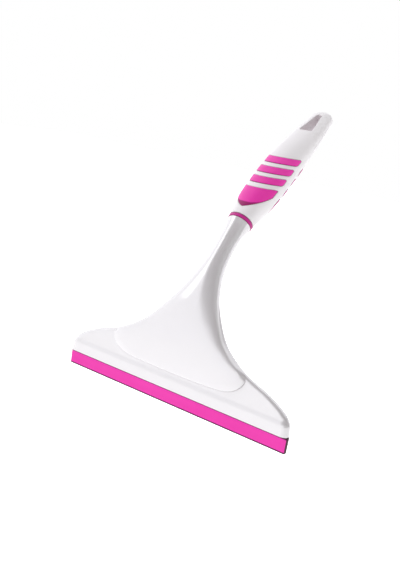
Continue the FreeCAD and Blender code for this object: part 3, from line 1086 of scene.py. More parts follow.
@dataclass
class Insert:
    """Soft insert let into the handle: its outline, how it stands proud and how its rim is rounded.

    Args:
        name: Name of the piece.
        node: CAD node it stands for.
        grip: The handle's surface.
        side: Front or back of the handle.
        proud: How far it stands above the handle.
        rim: Radius of its rounded rim.
        reference: Radius that turns angles round the handle into millimetres.
        edge_dark: Width of the painted shadow along its rim.
        root: How far its hidden edge lies below the handle's surface.
        fade: Share of the shadow's width over which it fades.
    """

    name: str
    node: str
    grip: Grip
    side: Side
    proud: float = 0.2
    rim: float = 0.55
    reference: float = 16.4
    edge_dark: float = 0.55
    root: float = 1.2
    fade: float = 0.5

    def outline(self, inset: float) -> Array:
        """Flat outline moved in by a distance; each kind of insert has its own."""
        raise NotImplementedError

    def seat(self, flat: Array) -> tuple[Array, Array]:
        """Distance along the spine and angle of flat points; each kind of insert has its own."""
        raise NotImplementedError

    def insets(self) -> list[float]:
        """Distances of the rings from the rim; each kind of insert has its own."""
        raise NotImplementedError

    def rim_insets(self) -> list[float]:
        """Distances of the rings on the rounded rim."""
        return [self.rim * (1 - math.cos(math.radians(a))) for a in (0, 20, 35, 50, 62, 74, 90)]

    def lift(self, inset: float, s: Array, turn: Array) -> Array:
        """Height above the handle at a distance from the rim.

        Args:
            inset: Distance from the rim.
            s: Distances along the spine.
            turn: Angles from straight ahead.

        Returns:
            The height.
        """
        short = max(self.rim - inset, 0.0)
        height = self.proud - self.rim + math.sqrt(self.rim ** 2 - short ** 2)
        return np.full(np.shape(s), height)

    def rim_points(self) -> Array:
        """Points of the outline on the handle, for the groove round it."""
        s, turn = self.seat(self.outline(0.0))
        return self.grip.point(s, turn)

    def build(self) -> None:
        """Make and dress the insert."""
        s, turn = self.seat(self.outline(0.0))
        rings = [self.grip.point(s, turn, -self.root)]
        # The root ring below the handle's surface gets full painted shade.
        shades = [np.ones(len(s))]
        for inset in self.insets():
            s, turn = self.seat(self.outline(inset))
            rings.append(self.grip.point(s, turn, self.lift(inset, s, turn)))
            shades.append(self.shade(inset, s, turn))
        faces = tube_faces(len(rings), len(s))
        piece = make_piece(self.name, np.array(rings), faces, crease=55.0, shade=np.array(shades))
        dress(piece, SOFT_PINK, HEAD_BODY, self.node)

    def shade(self, inset: float, s: Array, turn: Array) -> Array:
        """Painted shade along the insert's rim, where it meets the dark gap round it.

        Args:
            inset: Distance from the rim.
            s: Distances along the spine.
            turn: Angles from straight ahead.

        Returns:
            1 at the rim, falling to 0 a little way in.
        """
        return np.full(np.shape(s), np.clip((self.edge_dark - inset) / (self.edge_dark * self.fade), 0, 1))


@dataclass
class GripBar(Insert):
    """Bar across the front or back of the handle.

    Args:
        middle: Height of its middle for a front bar, or its place along the spine for a back bar.
        half_tall: Half its height, along the same measure.
        half_turn: Angle from its middle to each end, in degrees.
        corner: Radius of its corners.
        steepness: Rise in height for one millimetre up the front of the handle.
    """

    middle: float = 0.0
    half_tall: float = 3.0
    half_turn: float = 76.0
    corner: float = 2.4
    steepness: float = 0.69

    def scale(self) -> float:
        """Height of one millimetre along the surface, in the bar's own measure."""
        return self.steepness if self.side is Side.FRONT else 1.0

    def outline(self, inset: float) -> Array:
        """Rounded rectangle in millimetres along the surface.

        Args:
            inset: Distance it is moved in by.

        Returns:
            The points.
        """
        long = math.radians(self.half_turn) * self.reference - inset
        tall = self.half_tall / self.scale() - inset
        return rounded_rectangle(long, max(tall, 0.02), max(self.corner - inset, 0.02))

    def seat(self, flat: Array) -> tuple[Array, Array]:
        """Lay flat points on the handle.

        Args:
            flat: Points across and along the bar.

        Returns:
            Distance along the spine and angle of each.
        """
        turn = flat[:, 0] / self.reference
        place = self.middle + flat[:, 1] * self.scale()
        if self.side is Side.FRONT:
            return self.grip.level_distance(place, turn), turn
        return place, turn + np.pi

    def insets(self) -> list[float]:
        """Rings close together at the rounded rim and wider towards the middle."""
        tall = self.half_tall / self.scale()
        return self.rim_insets() + list(np.linspace(self.rim + 0.35, tall - 0.03, 9))


@dataclass
class Pad(Insert):
    """Large pad with a round lower end, under the thumb or the palm.

    Args:
        low: Where its round end starts, along the spine.
        top: Height of its top edge for the front pad, or its place along the spine for the back pad.
        half_turn: Angle from its middle to each side, in degrees.
        crease: Height below which the front pad slopes back into the handle, or 0.
        end_bulge: How full its round end is.
        shoulder: Share of its length, from the round end, at which its sides begin.
        corner: Rounding of its two top corners, as a share of its half width.
        crease_rise: How much higher the crease is at the sides.
        crease_level: Angle from the middle up to which the crease is level, in radians.
        crease_bend: Angle over which it then rises, in radians.
        slope_height: Height over which the slope below the crease comes down.
        slope_power: How soon it comes down.
        least_proud: How far the pad still stands above the handle at the slope's foot.
        crease_blur: Height over which the shade below the crease sets in.
        crease_tone: How much painted shade the slope gets.
    """

    low: float = 173.9
    top: float = 195.6
    half_turn: float = 75.0
    crease: float = 0.0
    end_bulge: float = 1.5
    shoulder: float = 0.7
    corner: float = 0.16
    crease_rise: float = 2.3
    crease_level: float = 0.35
    crease_bend: float = 0.65
    slope_height: float = 4.5
    slope_power: float = 0.8
    least_proud: float = 0.05
    crease_blur: float = 0.7
    crease_tone: float = 0.92

    def outline(self, inset: float) -> Array:
        """Outline in its own square from -1 to 1: a U closed by a straight top.

        Args:
            inset: Distance it is moved in by.

        Returns:
            The points.
        """
        scale = 1 - inset / (self.reference * 0.72)
        bend = np.radians(np.linspace(180, 360, 90))
        side, drop = np.cos(bend), np.sin(bend)
        curve = np.stack([np.sign(side) * np.abs(side) ** (2 / self.end_bulge), -drop * drop], 1)
        straight = 1 - self.corner
        rises = np.linspace(0.0, straight, 22)[1:-1]
        right = np.stack([np.ones_like(rises), rises], 1)
        turn = np.radians(np.linspace(0, 90, 9))
        arc = straight + self.corner * np.stack([np.cos(turn), np.sin(turn)], 1)
        across = np.linspace(straight, -straight, 62)[1:-1]
        top = np.stack([across, np.ones_like(across)], 1)
        mirrored = arc[::-1] * [-1, 1]
        left = right[::-1] * [-1, 1]
        return np.concatenate([curve, right, arc, top, mirrored, left]) * scale

    def seat(self, flat: Array) -> tuple[Array, Array]:
        """Lay the square on the handle.

        Args:
            flat: Points from -1 to 1 across and along the pad.

        Returns:
            Distance along the spine and angle of each.
        """
        turn = flat[:, 0] * math.radians(self.half_turn)
        if self.side is Side.FRONT:
            high = self.grip.level_distance(np.full(len(flat), self.top), turn)
        else:
            high = np.full(len(flat), self.top)
        middle = self.low + self.shoulder * (high - self.low)
        reach = np.where(flat[:, 1] > 0, high - middle, middle - self.low)
        return middle + reach * flat[:, 1], turn + (0 if self.side is Side.FRONT else np.pi)

    def below_crease(self, s: Array, turn: Array) -> Array:
        """How far points lie below the crease, which rises towards the sides.

        Args:
            s: Distances along the spine.
            turn: Angles from straight ahead.

        Returns:
            The distance in height, negative above the crease.
        """
        beyond = np.clip((np.abs(turn) - self.crease_level) / self.crease_bend, 0, 1)
        line = self.crease + self.crease_rise * beyond ** 1.5
        return line - self.grip.point(s, turn, self.proud)[..., 2]

    def shade(self, inset: float, s: Array, turn: Array) -> Array:
        """Painted shade on the pad: along its rim, and below the crease.

        Args:
            inset: Distance from the rim.
            s: Distances along the spine.
            turn: Angles from straight ahead.

        Returns:
            1 at the rim, falling to 0 in the light.
        """
        rim = super().shade(inset, s, turn)
        if not self.crease:
            return rim
        # Painted shade below the crease: the dark crescent at the pad's lower end.
        return np.maximum(rim, np.clip(self.below_crease(s, turn) / self.crease_blur, 0, self.crease_tone))

    def lift(self, inset: float, s: Array, turn: Array) -> Array:
        """Height above the handle: a rounded rim, and below the crease a slope back into the handle.

        Args:
            inset: Distance from the rim.
            s: Distances along the spine.
            turn: Angles from straight ahead.

        Returns:
            The height.
        """
        height = super().lift(inset, s, turn)
        if not self.crease:
            return height
        below = np.clip(self.below_crease(s, turn) / self.slope_height, 0, 1)
        return height - (self.proud - self.least_proud) * below ** self.slope_power

    def insets(self) -> list[float]:
        """Rings close together at the rounded rim and even towards the middle."""
        return self.rim_insets() + list(np.linspace(self.rim + 0.3, self.reference * 0.7, 36))


@dataclass
class HandleShell:
    """One half of the handle: a tube, then a rounded end with the hanging hole through it.

    Args:
        name: Name of the piece.
        node: CAD node it stands for.
        grip: The handle's surface.
        side: Front or back half.
        inserts: Soft inserts, each with a fine groove round it.
        end_start: Where the tube gives way to the end with the hole.
        hole_low: Wide end of the hole.
        hole_high: Narrow end of the hole.
        hole_wide: Width at the wide end.
        hole_narrow: Width at the narrow end.
        hole_corner: Rounding of the hole's corners.
        rim: Rounding of the hole's edge.
        groove: Depth of the groove round the inserts.
        groove_width: Half width of that groove.
        columns: Points across the half tube.
        wall_rows: Rows of points on the hole's wall.
        wall_tone: How much painted shade the hole's wall gets.
        groove_tone: How much painted shade the groove gets. groove_shade: Width of that painted shade, as a
            share of the groove's.
        groove_shade: Width of that shade, as a share of the groove's.
        grooved: Where along the spine the grooves lie.
        fine_start: Where the close rows of the tube start.
        fine_end: Where they end.
        fine_step: Distance between them.
        look_round: Height within which a groove is looked for.
        arc_steps: Points round each corner of the hole.
        bow_steps: Points round the sides and tip of the end.
        end_rows: Rows of points from the outside edge in to the hole.
        seam_drop: How far the parting line and the collar's side of the tube are lowered.
        foot_drop: How far its very first row is lowered.
        parting: Half the gap at the parting line.
        lip_share: How far in towards the middle the lips along the parting line turn.
    """

    name: str
    node: str
    grip: Grip
    side: Side
    inserts: list[Insert]
    end_start: float = 276.0
    hole_low: float = 288.8
    hole_high: float = 318.5
    hole_wide: float = 14.6
    hole_narrow: float = 5.6
    hole_corner: float = 2.8
    rim: float = 0.9
    groove: float = 0.45
    groove_width: float = 0.42
    columns: int = 151
    wall_rows: int = 6
    wall_tone: float = 0.3
    groove_tone: float = 0.9
    groove_shade: float = 0.8
    grooved: tuple[float, float] = (170.0, 258.0)
    fine_start: float = 171.5
    fine_end: float = 256.0
    fine_step: float = 0.42
    look_round: float = 14.0
    arc_steps: int = 24
    bow_steps: int = 190
    end_rows: int = 34
    seam_drop: float = 0.12
    foot_drop: float = 0.5
    parting: float = 0.03
    lip_share: float = 0.12

    def tube(self) -> tuple[Array, Array]:
        """Grid of the half tube, fine where the inserts are.

        Returns:
            Rows of points from the collar ring to the start of the end, and how much painted shade each point
            gets.
        """
        g = self.grip
        edge = g.low + np.array([0.15, 0.3, 0.6])
        s = np.concatenate([
            edge, np.linspace(g.low + 1.0, self.fine_start - 0.5, 8),
            np.arange(self.fine_start, self.fine_end, self.fine_step),
            np.linspace(self.fine_end + 0.5, self.end_start, 16),
        ])[:, None]
        turn = np.linspace(-np.pi / 2, np.pi / 2, self.columns)
        turn = turn if self.side is Side.FRONT else np.pi - turn
        flat = g.point(s, turn)
        rims = np.concatenate([insert.rim_points() for insert in self.inserts])
        near = np.full(flat.shape[:2], self.look_round)
        first, last = self.grooved
        for i in np.nonzero((s[:, 0] > first) & (s[:, 0] < last))[0]:
            close = rims[np.abs(rims[:, 2] - flat[i, :, 2].mean()) < self.look_round]
            if len(close):
                near[i] = np.linalg.norm(flat[i][:, None] - close[None], axis=2).min(1)
        sunk = self.groove * np.exp(-(near / self.groove_width) ** 2)
        sunk[0] += self.foot_drop
        sunk[1] += self.seam_drop
        sunk[:, 0] += self.seam_drop
        sunk[:, -1] += self.seam_drop
        # Painted shade in the fine grooves round the inserts, fading away from them.
        tones = self.groove_tone * np.exp(-(near / (self.groove_width * self.groove_shade)) ** 2)
        return g.point(s, turn, -sunk), tones

    def hole_outline(self, count: int) -> Array:
        """Outline of the hole in width and distance along the spine, seen from the front.

        Args:
            count: Number of points, evenly spread round its middle.

        Returns:
            The points.
        """
        middle = (self.hole_low + self.hole_high) / 2
        half = (self.hole_high - self.hole_low) / 2
        r = self.hole_corner
        lean = math.atan2((self.hole_wide - self.hole_narrow) / 2, 2 * half)
        wide = self.hole_wide / 2 - r * (1 + math.sin(lean)) / math.cos(lean)
        narrow = max(self.hole_narrow / 2 - r * (1 - math.sin(lean)) / math.cos(lean), 0.02)
        centres = ((narrow, half - r), (-narrow, half - r), (-wide, r - half), (wide, r - half))
        turns = (-lean, np.pi / 2, np.pi + lean, 1.5 * np.pi, 2 * np.pi - lean)
        points = []
        for (x, t), start, end in zip(centres, turns, turns[1:]):
            bend = np.linspace(start, end, self.arc_steps)
            points.append(np.stack([x + r * np.cos(bend), t + r * np.sin(bend)], 1))
        loop = np.concatenate(points + [points[0][:1]])
        return self.around(loop, count) + [0, middle]

    def around(self, loop: Array, count: int) -> Array:
        """Even points round a closed line, starting at its lowest middle.

        Args:
            loop: Closed line, its last point the same as its first.
            count: Number of points.

        Returns:
            The points.
        """
        run = distance_along(loop)
        steps = 4000
        fine = np.linspace(0, run[-1], steps + 1)[:-1]
        x, t = np.interp(fine, run, loop[:, 0]), np.interp(fine, run, loop[:, 1])
        upper_half = np.where(t < 0, 0, 1e6)
        start = int(np.argmin(np.abs(x) + upper_half))
        pick = (start + np.round(np.arange(count) * steps / count).astype(int)) % steps
        return np.stack([x[pick], t[pick]], 1)

    def end_outline(self, base: int, bow: int) -> Array:
        """Outline of the handle's end, from the middle of its base round the tip and back.

        Args:
            base: Points along the straight base, an odd number.
            bow: Points round the sides and tip.

        Returns:
            The points in width and distance along the spine.
        """
        turn = np.linspace(-np.pi / 2, np.pi / 2, base)
        x = squircle(turn, self.grip.squareness)[0] * float(self.grip.half_width.at(self.end_start))
        straight = np.stack([x, np.full(base, self.end_start)], 1)
        g = self.grip
        radius = g.half_width.keys[-1][1]
        cap = g.tip - radius
        sides = np.linspace(self.end_start, cap, 60)[1:]
        right = np.stack([g.half_width.at(sides), sides], 1)
        bend = np.linspace(0, np.pi / 2, 60)[1:]
        end_s = cap + radius * np.sin(bend)
        round_right = np.stack([g.half_width.at(end_s) * g.shrink(end_s), end_s], 1)
        half_bow = np.concatenate([[straight[-1]], right, round_right])
        full = np.concatenate([half_bow, (half_bow[::-1] * [-1, 1])[1:]])
        run = distance_along(full)
        wanted = np.linspace(0, run[-1], bow + 2)[1:-1]
        around = np.stack([np.interp(wanted, run, full[:, 0]), np.interp(wanted, run, full[:, 1])], 1)
        loop = np.concatenate([straight, around])
        return np.roll(loop, -(base // 2), axis=0)

    def end(self) -> Array:
        """Grid of the end: rows run round the hole, from the outside edge in to the hole's wall.

        Returns:
            Rows of points, each a closed loop.
        """
        outer = self.end_outline(self.columns, self.bow_steps)
        hole = self.matched_hole(outer)
        inward = outer - hole
        length = np.linalg.norm(inward, axis=1)[:, None]
        inward = inward / length
        rows = []
        for share in np.sin(np.linspace(np.pi / 2, 0, self.end_rows)):
            rows.append(self.on_surface(hole + inward * (self.rim + (length - self.rim) * share), 0.0))
        for bend in np.radians((75, 60, 45, 30, 15, 0)):
            at = hole + inward * self.rim * (1 - math.cos(bend))
            rows.append(self.on_surface(at, self.rim * (1 - math.sin(bend))))
        wall = self.on_surface(hole, self.rim)
        middle = self.grip.spine.place(hole[:, 1], hole[:, 0], self.parting * self.side.value)
        rows += [wall + (middle - wall) * f for f in (0.25, 0.5, 0.75, 1.0)]
        return np.array(rows)

    def matched_hole(self, outer: Array) -> Array:
        """Points of the hole that face the points of the outer line.

        Args:
            outer: Outer line.

        Returns:
            One point of the hole for each outer point.
        """
        fine = self.hole_outline(2000)
        middle = np.array([0.0, (self.hole_low + self.hole_high) / 2 - 3.0])
        angle = np.unwrap(np.arctan2(fine[:, 0], middle[1] - fine[:, 1]))
        wanted = np.unwrap(np.arctan2(outer[:, 0], middle[1] - outer[:, 1]))
        order = np.argsort(angle)
        around = 2 * np.pi
        start = angle[order][0]
        wrapped = (wanted - start) % around + start
        x = np.interp(wrapped, angle[order], fine[order, 0], period=around)
        t = np.interp(wrapped, angle[order], fine[order, 1], period=around)
        return np.stack([x, t], 1)

    def on_surface(self, at: Array, sunk: float) -> Array:
        """Points of this half of the end above flat places.

        Args:
            at: Width and distance along the spine.
            sunk: How far they are lowered.

        Returns:
            The points.
        """
        g = self.grip
        power = g.squareness
        width = np.maximum(g.half_width.at(at[:, 1]), 1e-6)
        side = np.abs(at[:, 0]) / width
        left = g.shrink(at[:, 1])
        depth = g.half_depth.at(at[:, 1]) * np.maximum(left ** power - side ** power, 0) ** (1 / power)
        return g.spine.place(at[:, 1], at[:, 0], self.side.value * np.maximum(depth - sunk, self.parting))

    def build(self) -> None:
        """Make and dress the half."""
        tube, tones = self.tube()
        edge = self.lip(tube)
        end = self.end()
        points = np.concatenate([edge.reshape(-1, 3), end.reshape(-1, 3)])
        faces = grid_faces(edge.shape[0], edge.shape[1], False)
        start = edge.shape[0] * edge.shape[1]
        faces += [tuple(start + k for k in face) for face in grid_faces(end.shape[0], end.shape[1], True)]
        # Painted shade on the hole's wall rows.
        wall = np.zeros(end.shape[:2])
        wall[-self.wall_rows:] = self.wall_tone
        shade = np.concatenate([np.pad(tones, ((0, 0), (1, 1))).ravel(), wall.ravel()])
        half = make_piece(self.name, points, faces, crease=50.0, shade=shade)
        dress(half, SATIN_PLASTIC_PAINTED_LIGHTER, HEAD_BODY, self.node)

    def lip(self, tube: Array) -> Array:
        """Add a short lip along both sides of the half tube, turned in behind the parting line.

        Args:
            tube: Grid of the half tube.

        Returns:
            The wider grid.
        """
        middle = (tube[:, :1] + tube[:, -1:]) / 2
        left = tube[:, :1] + (middle - tube[:, :1]) * self.lip_share
        right = tube[:, -1:] + (middle - tube[:, -1:]) * self.lip_share
        return np.concatenate([left, tube, right], 1)


@dataclass
class Handle:
    """Handle: two shells and the soft inserts let into them.

    Args:
        grip: Its outer surface.
        bar_count: Bars on each side.
        front_bar_low: Height of the lowest front bar's lower edge.
        front_bar_pitch: Height from one front bar to the next.
        front_bar_height: Height of a front bar.
        back_bar_low: Place of the lowest back bar's lower edge.
        back_bar_pitch: Distance from one back bar to the next.
        back_bar_height: Height of a back bar.
        front_half_turn: Angle from the middle of a front bar to each end, in degrees.
        back_half_turn: The same for the back bars and the palm pad.
        thumb_proud: How far the thumb pad stands above the handle.
        thumb_crease: Height of its crease.
        palm_top: Place of the palm pad's top edge.
    """

    grip: Grip
    bar_count: int = 3
    front_bar_low: float = 199.9
    front_bar_pitch: float = 9.65
    front_bar_height: float = 6.1
    back_bar_low: float = 213.0
    back_bar_pitch: float = 14.7
    back_bar_height: float = 9.6
    front_half_turn: float = 76.0
    back_half_turn: float = 68.0
    thumb_proud: float = 0.35
    thumb_crease: float = 182.6
    palm_top: float = 208.0

    def bars(self, side: Side, low: float, pitch: float, height: float, half_turn: float) -> list[Insert]:
        """Bars of one side, the highest first.

        Args:
            side: Front or back of the handle.
            low: Lower edge of the lowest bar.
            pitch: Distance from one bar to the next.
            height: Height of a bar.
            half_turn: Angle from the middle of a bar to each end, in degrees.

        Returns:
            The bars.
        """
        name = side.name.lower()
        bars: list[Insert] = []
        for i in range(self.bar_count):
            middle = low + (self.bar_count - 1 - i) * pitch + height / 2
            bars.append(GripBar(
                f"{name}_bar_{i + 1}", f"{name}_grip_bar_{i + 1}", self.grip, side,
                middle=middle, half_tall=height / 2, half_turn=half_turn))
        return bars

    def inserts(self, side: Side) -> list[Insert]:
        """Pad and bars of one side.

        Args:
            side: Front or back of the handle.

        Returns:
            The pad, then the bars.
        """
        if side is Side.FRONT:
            look = {"proud": self.thumb_proud, "crease": self.thumb_crease}
            pad = Pad("soft_thumb_pad", "thumb_pad", self.grip, side, **look)
            sizes = (self.front_bar_low, self.front_bar_pitch, self.front_bar_height, self.front_half_turn)
        else:
            look = {"top": self.palm_top, "half_turn": self.back_half_turn}
            pad = Pad("soft_palm_pad", "palm_pad", self.grip, side, **look)
            sizes = (self.back_bar_low, self.back_bar_pitch, self.back_bar_height, self.back_half_turn)
        return [pad, *self.bars(side, *sizes)]

    def build(self) -> None:
        """Make and dress every piece of the handle."""
        for side in Side:
            name = f"handle_{side.name.lower()}"
            inserts = self.inserts(side)
            HandleShell(name, f"{name}_shell", self.grip, side, inserts).build()
            for insert in inserts:
                insert.build()


@dataclass
class Blade:
    """Rubber strip: a lip with eased edges below the head, and a web and bead inside the channel.

    Args:
        length: Length of the lip.
        height: Height of the lip.
        edge_half: Half thickness at the wiping edge.
        top_half: Half thickness at the head.
        bead_half: Half width of the bead.
        lip_height: Height of the holder's lip.
        web_height: Height of the web above the lip.
        bead_height: Height of the bead.
        open_setback: How far the bead stops short of the open end.
        closed_setback: How far the bead stops short of the closed end.
        eased: Radius of the eased edges.
        edge_dark: Width of the painted shadow along the wiping edge. top_dark: Width of the painted shadow
            under the holder. end_dark: Width of the painted shadow at the ends. full_dark: Share of each
            width that is fully in painted shadow.
        top_dark: Width of the shadow under the holder.
        end_dark: Width of the shadow at the ends.
        full_dark: Share of each width that is fully dark.
        overlap: How far the web reaches down into the lip.
    """

    length: float = 240.0
    height: float = 14.1
    edge_half: float = 1.8
    top_half: float = 2.15
    bead_half: float = 3.65
    lip_height: float = 14.2
    web_height: float = 3.0
    bead_height: float = 4.0
    open_setback: float = 2.2
    closed_setback: float = 6.12
    eased: float = 0.22
    edge_dark: float = 1.5
    top_dark: float = 2.4
    end_dark: float = 0.3
    full_dark: float = 0.6
    overlap: float = 0.6

    def bar(self, name: str, outline: Keys, start: float, end: float) -> Piece:
        """Straight bar along the blade with eased edges.

        Args:
            name: Name of the piece.
            outline: Outline in depth and height.
            start: Where it starts.
            end: Where it ends.

        Returns:
            The closed piece.
        """
        stations = np.concatenate([
            [start, start + self.end_dark], np.linspace(start, end, 41)[1:-1], [end - self.end_dark, end]])
        points = np.array([(x, y, z) for x in stations for y, z in outline])
        piece = make_piece(name, points, tube_faces(len(stations), len(outline)))
        bevel = piece.modifiers.new("eased edges", "BEVEL")
        bevel.width = self.eased * MM
        bevel.segments = 3
        bevel.limit_method = "ANGLE"
        bevel.angle_limit = math.radians(35)
        bevel.harden_normals = False
        return settle(piece, crease=40.0)

    def build(self) -> None:
        """Make and dress the strip."""
        half = self.length / 2
        low = [self.edge_dark * share for share in (0.0, self.full_dark, 1.0)]
        high = [self.height - self.top_dark * share for share in (1.0, self.full_dark, 0.0)]
        right = [(self.half_at(level), level) for level in low + high]
        left = [(-thick, level) for thick, level in right[::-1]]
        lip = self.bar("blade_strip", tuple(right + left), -half, half)
        web_top = self.lip_height + self.web_height
        bead_top = web_top + self.bead_height
        front = ((self.top_half, self.height - self.overlap), (self.top_half, web_top),
                 (self.bead_half, web_top), (self.bead_half, bead_top))
        back = tuple((-thick, level) for thick, level in front[::-1])
        bead = self.bar("bead", front + back, -half + self.open_setback, half - self.closed_setback)
        combine(lip, bead, Joining.ADD)
        mesh = lip.data
        bpy.data.objects.remove(lip)
        # Painted shadow: dark along the wiping edge, under the holder and at the end faces, none on the web
        # and bead.
        at = np.array([point.co[:] for point in mesh.vertices]) / MM
        to_rim = np.minimum(at[:, 2] / self.edge_dark, (self.height - at[:, 2]) / self.top_dark)
        to_rim = np.minimum(to_rim, (half - np.abs(at[:, 0])) / self.end_dark)
        shade = (1 - to_rim) / (1 - self.full_dark)
        shade_points(mesh, np.where(at[:, 2] > self.height + 0.05, 0.0, shade))
        dress(wrap_mesh("blade_strip", mesh, crease=40.0), BLADE_PINK, BLADE_BODY, "squeegee_blade")

    def half_at(self, height: float) -> float:
        """Half thickness of the lip at a height."""
        return self.edge_half + (self.top_half - self.edge_half) * height / self.height


@dataclass(frozen=True)
class Lamp:
    """Soft square light that faces the tool.

    Args:
        name: Name of the light.
        place: Where it stands, in metres.
        size: Length of its sides, in metres.
        power: Power in watts.
        mirrored: Whether it shows in reflections.
    """

    name: str
    place: tuple[float, float, float]
    size: float
    power: float
    mirrored: bool = True


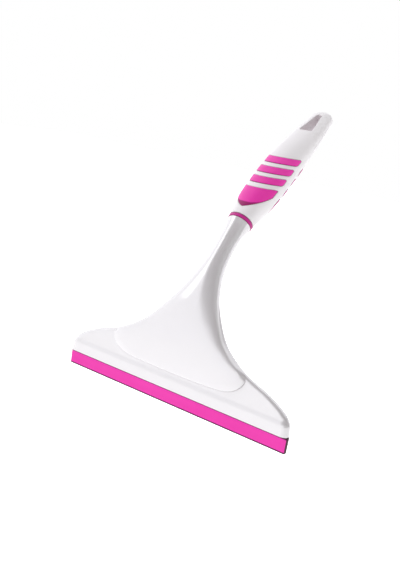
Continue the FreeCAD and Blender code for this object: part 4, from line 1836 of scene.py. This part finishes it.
@dataclass
class Studio:
    """Pale floor far below, soft lights, surroundings with a dark gap, and the camera.

    Args:
        aim: Point the camera looks at, in millimetres.
        distance: Distance from that point.
        azimuth: Angle round the tool from its front, in degrees.
        elevation: Angle above level, in degrees.
        roll: Tilt of the camera about its own line of sight, in degrees.
        lens: Focal length on the sensor.
        sensor: Width of the sensor.
        reach: Farthest distance the camera sees, in metres.
        floor_size: Distance from the middle of the floor to its sides, in metres.
        floor_height: Height of the floor, in metres.
        floor_glow: How brightly the floor lights the tool; to the camera it is white.
        floor_noise: Cells per metre and finer layers of the floor's unevenness.
        floor_tones: The two colours it varies between.
        floor_roughness: Roughness of the floor.
        floor_specular: How little it mirrors.
        gap_rise: Height of the directions in which the dark gap sets in and is full.
        gap_side: The same, to the side.
        gap_back: The same, from back to front.
        right_side: Side of the directions in which the dim right part sets in and is full.
        right_back: The same, from back to front.
        bright: Colour of the soft boxes.
        dim: Colour of the right part.
        dark: Colour of the gap.
        strength: Brightness of the surroundings.
        lamps: The lights.
    """

    aim: tuple[float, float, float] = (49.2, -56.6, 125.1)
    distance: float = 600.0
    azimuth: float = 34.0
    elevation: float = 11.57
    roll: float = 10.09
    lens: float = 50.03
    sensor: float = 36.0
    reach: float = 60.0
    floor_size: float = 12.0
    floor_height: float = -0.5
    floor_glow: float = 0.5
    floor_noise: tuple[float, float] = (1.5, 2.0)
    floor_tones: tuple[Color, Color] = ((0.94, 0.94, 0.94, 1.0), (0.96, 0.96, 0.96, 1.0))
    floor_roughness: float = 0.9
    floor_specular: float = 0.1
    gap_rise: tuple[float, float] = (0.25, 0.75)
    gap_side: tuple[float, float] = (-0.48, -0.26)
    gap_back: tuple[float, float] = (0.2, -0.15)
    right_side: tuple[float, float] = (0.2, 0.75)
    right_back: tuple[float, float] = (0.85, 0.55)
    bright: Color = (1.0, 0.99, 1.02, 1.0)
    dim: Color = (0.22, 0.21, 0.205, 1.0)
    dark: Color = (0.06, 0.045, 0.035, 1.0)
    strength: float = 1.27
    lamps: tuple[Lamp, ...] = (
        Lamp("key", (-1.6, -1.1, 1.5), size=0.9, power=3.0),
        Lamp("fill", (0.22, 0.14, 0.42), size=0.15, power=0.1, mirrored=False),
    )

    def camera(self) -> None:
        """Camera at the viewing angle."""
        data = bpy.data.cameras.new("camera")
        data.lens = self.lens
        data.sensor_width = self.sensor
        data.clip_end = self.reach
        camera = bpy.data.objects.new("camera", data)
        bpy.context.scene.collection.objects.link(camera)
        level, up = math.radians(self.azimuth), math.radians(self.elevation)
        toward = Vector((math.sin(level) * math.cos(up), -math.cos(level) * math.cos(up), math.sin(up)))
        camera.location = (Vector(self.aim) + toward * self.distance) * MM
        tilt = Euler((0, 0, math.radians(self.roll))).to_matrix()
        camera.rotation_euler = (toward.to_track_quat("Z", "Y").to_matrix() @ tilt).to_euler()
        bpy.context.scene.camera = camera

    def floor(self) -> None:
        """Plain pale floor, well below the tool, with a barely visible unevenness."""
        size = self.floor_size
        rim = [(-size, -size), (size, -size), (size, size), (-size, size)]
        mesh = bpy.data.meshes.new("floor")
        mesh.from_pydata([(x, y, self.floor_height) for x, y in rim], [], [(0, 1, 2, 3)])
        floor = bpy.data.objects.new("floor", mesh)
        bpy.context.scene.collection.objects.link(floor)
        material = bpy.data.materials.new("pale_floor")
        material.use_nodes = True
        nodes = Nodes(material.node_tree)
        where = nodes.add("ShaderNodeTexCoord").outputs["Object"]
        unevenness = nodes.noise(where, *self.floor_noise)
        seen = nodes.add("ShaderNodeLightPath").outputs["Is Camera Ray"]
        nodes.feed(material.node_tree.nodes["Principled BSDF"], {
            "Base Color": nodes.mix(unevenness, *self.floor_tones),
            "Roughness": self.floor_roughness, "Specular IOR Level": self.floor_specular,
            "Emission Color": WHITE, "Emission Strength": nodes.remap(seen, self.floor_glow, 1.0),
        })
        mesh.materials.append(material)

    def light(self, lamp: Lamp) -> None:
        """Put up one light.

        Args:
            lamp: The light's name, place, size and power.
        """
        data = bpy.data.lights.new(lamp.name, "AREA")
        data.shape = "SQUARE"
        data.size = lamp.size
        data.energy = lamp.power
        light = bpy.data.objects.new(lamp.name, data)
        bpy.context.scene.collection.objects.link(light)
        light.location = lamp.place
        toward = Vector(lamp.place) - Vector(self.aim) * MM
        light.rotation_euler = toward.to_track_quat("Z", "Y").to_euler()
        light.visible_glossy = lamp.mirrored

    def world(self) -> None:
        """Surroundings: white to the camera, and soft boxes with a dark gap between them to the tool."""
        world = bpy.data.worlds.new("studio")
        world.use_nodes = True
        world.node_tree.nodes.clear()
        nodes = Nodes(world.node_tree)
        way = nodes.add("ShaderNodeSeparateXYZ")
        nodes.feed(way, {0: nodes.add("ShaderNodeTexCoord").outputs["Generated"]})
        x, y, z = way.outputs
        gap = nodes.times(nodes.ramp(z, *self.gap_rise), nodes.ramp(x, *self.gap_side))
        gap = nodes.times(gap, nodes.ramp(y, *self.gap_back))
        right = nodes.times(nodes.ramp(x, *self.right_side), nodes.ramp(y, *self.right_back))
        glow = nodes.mix(gap, nodes.mix(right, self.bright, self.dim), self.dark)
        boxes = nodes.feed(nodes.add("ShaderNodeBackground"), {"Color": glow, "Strength": self.strength})
        plain = nodes.feed(nodes.add("ShaderNodeBackground"), {"Color": WHITE})
        seen = nodes.add("ShaderNodeLightPath").outputs["Is Camera Ray"]
        choose = nodes.add("ShaderNodeMixShader")
        nodes.feed(choose, {0: seen, 1: boxes.outputs[0], 2: plain.outputs[0]})
        nodes.feed(nodes.add("ShaderNodeOutputWorld"), {"Surface": choose.outputs[0]})
        bpy.context.scene.world = world

    def build(self) -> None:
        """Set up the camera, the floor, the surroundings and the lights."""
        self.camera()
        self.floor()
        self.world()
        for lamp in self.lamps:
            self.light(lamp)
        bpy.context.scene.view_settings.view_transform = "Standard"


def dress_frame_nodes() -> None:
    """Give the carried-over CAD nodes their procedural finishes."""
    for node, finish in (("cover_screws", PLATED_STEEL), ("neck_sleeve", SLEEVE_PLASTIC)):
        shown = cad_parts[node]
        for slot in shown.material_slots:
            slot.material = finish.material()
        log.info("%s keeps its CAD shape, %s", node, finish.slot)


def main() -> None:
    """Build every part of the squeegee in order, then the studio."""
    logging.basicConfig(level=logging.INFO, format="%(name)s: %(message)s")
    spine = Spine()
    Head(spine).build()
    Collar(spine).build()
    Handle(Grip(spine)).build()
    Blade().build()
    dress_frame_nodes()
    Studio().build()


if __name__ == "__main__":
    main()
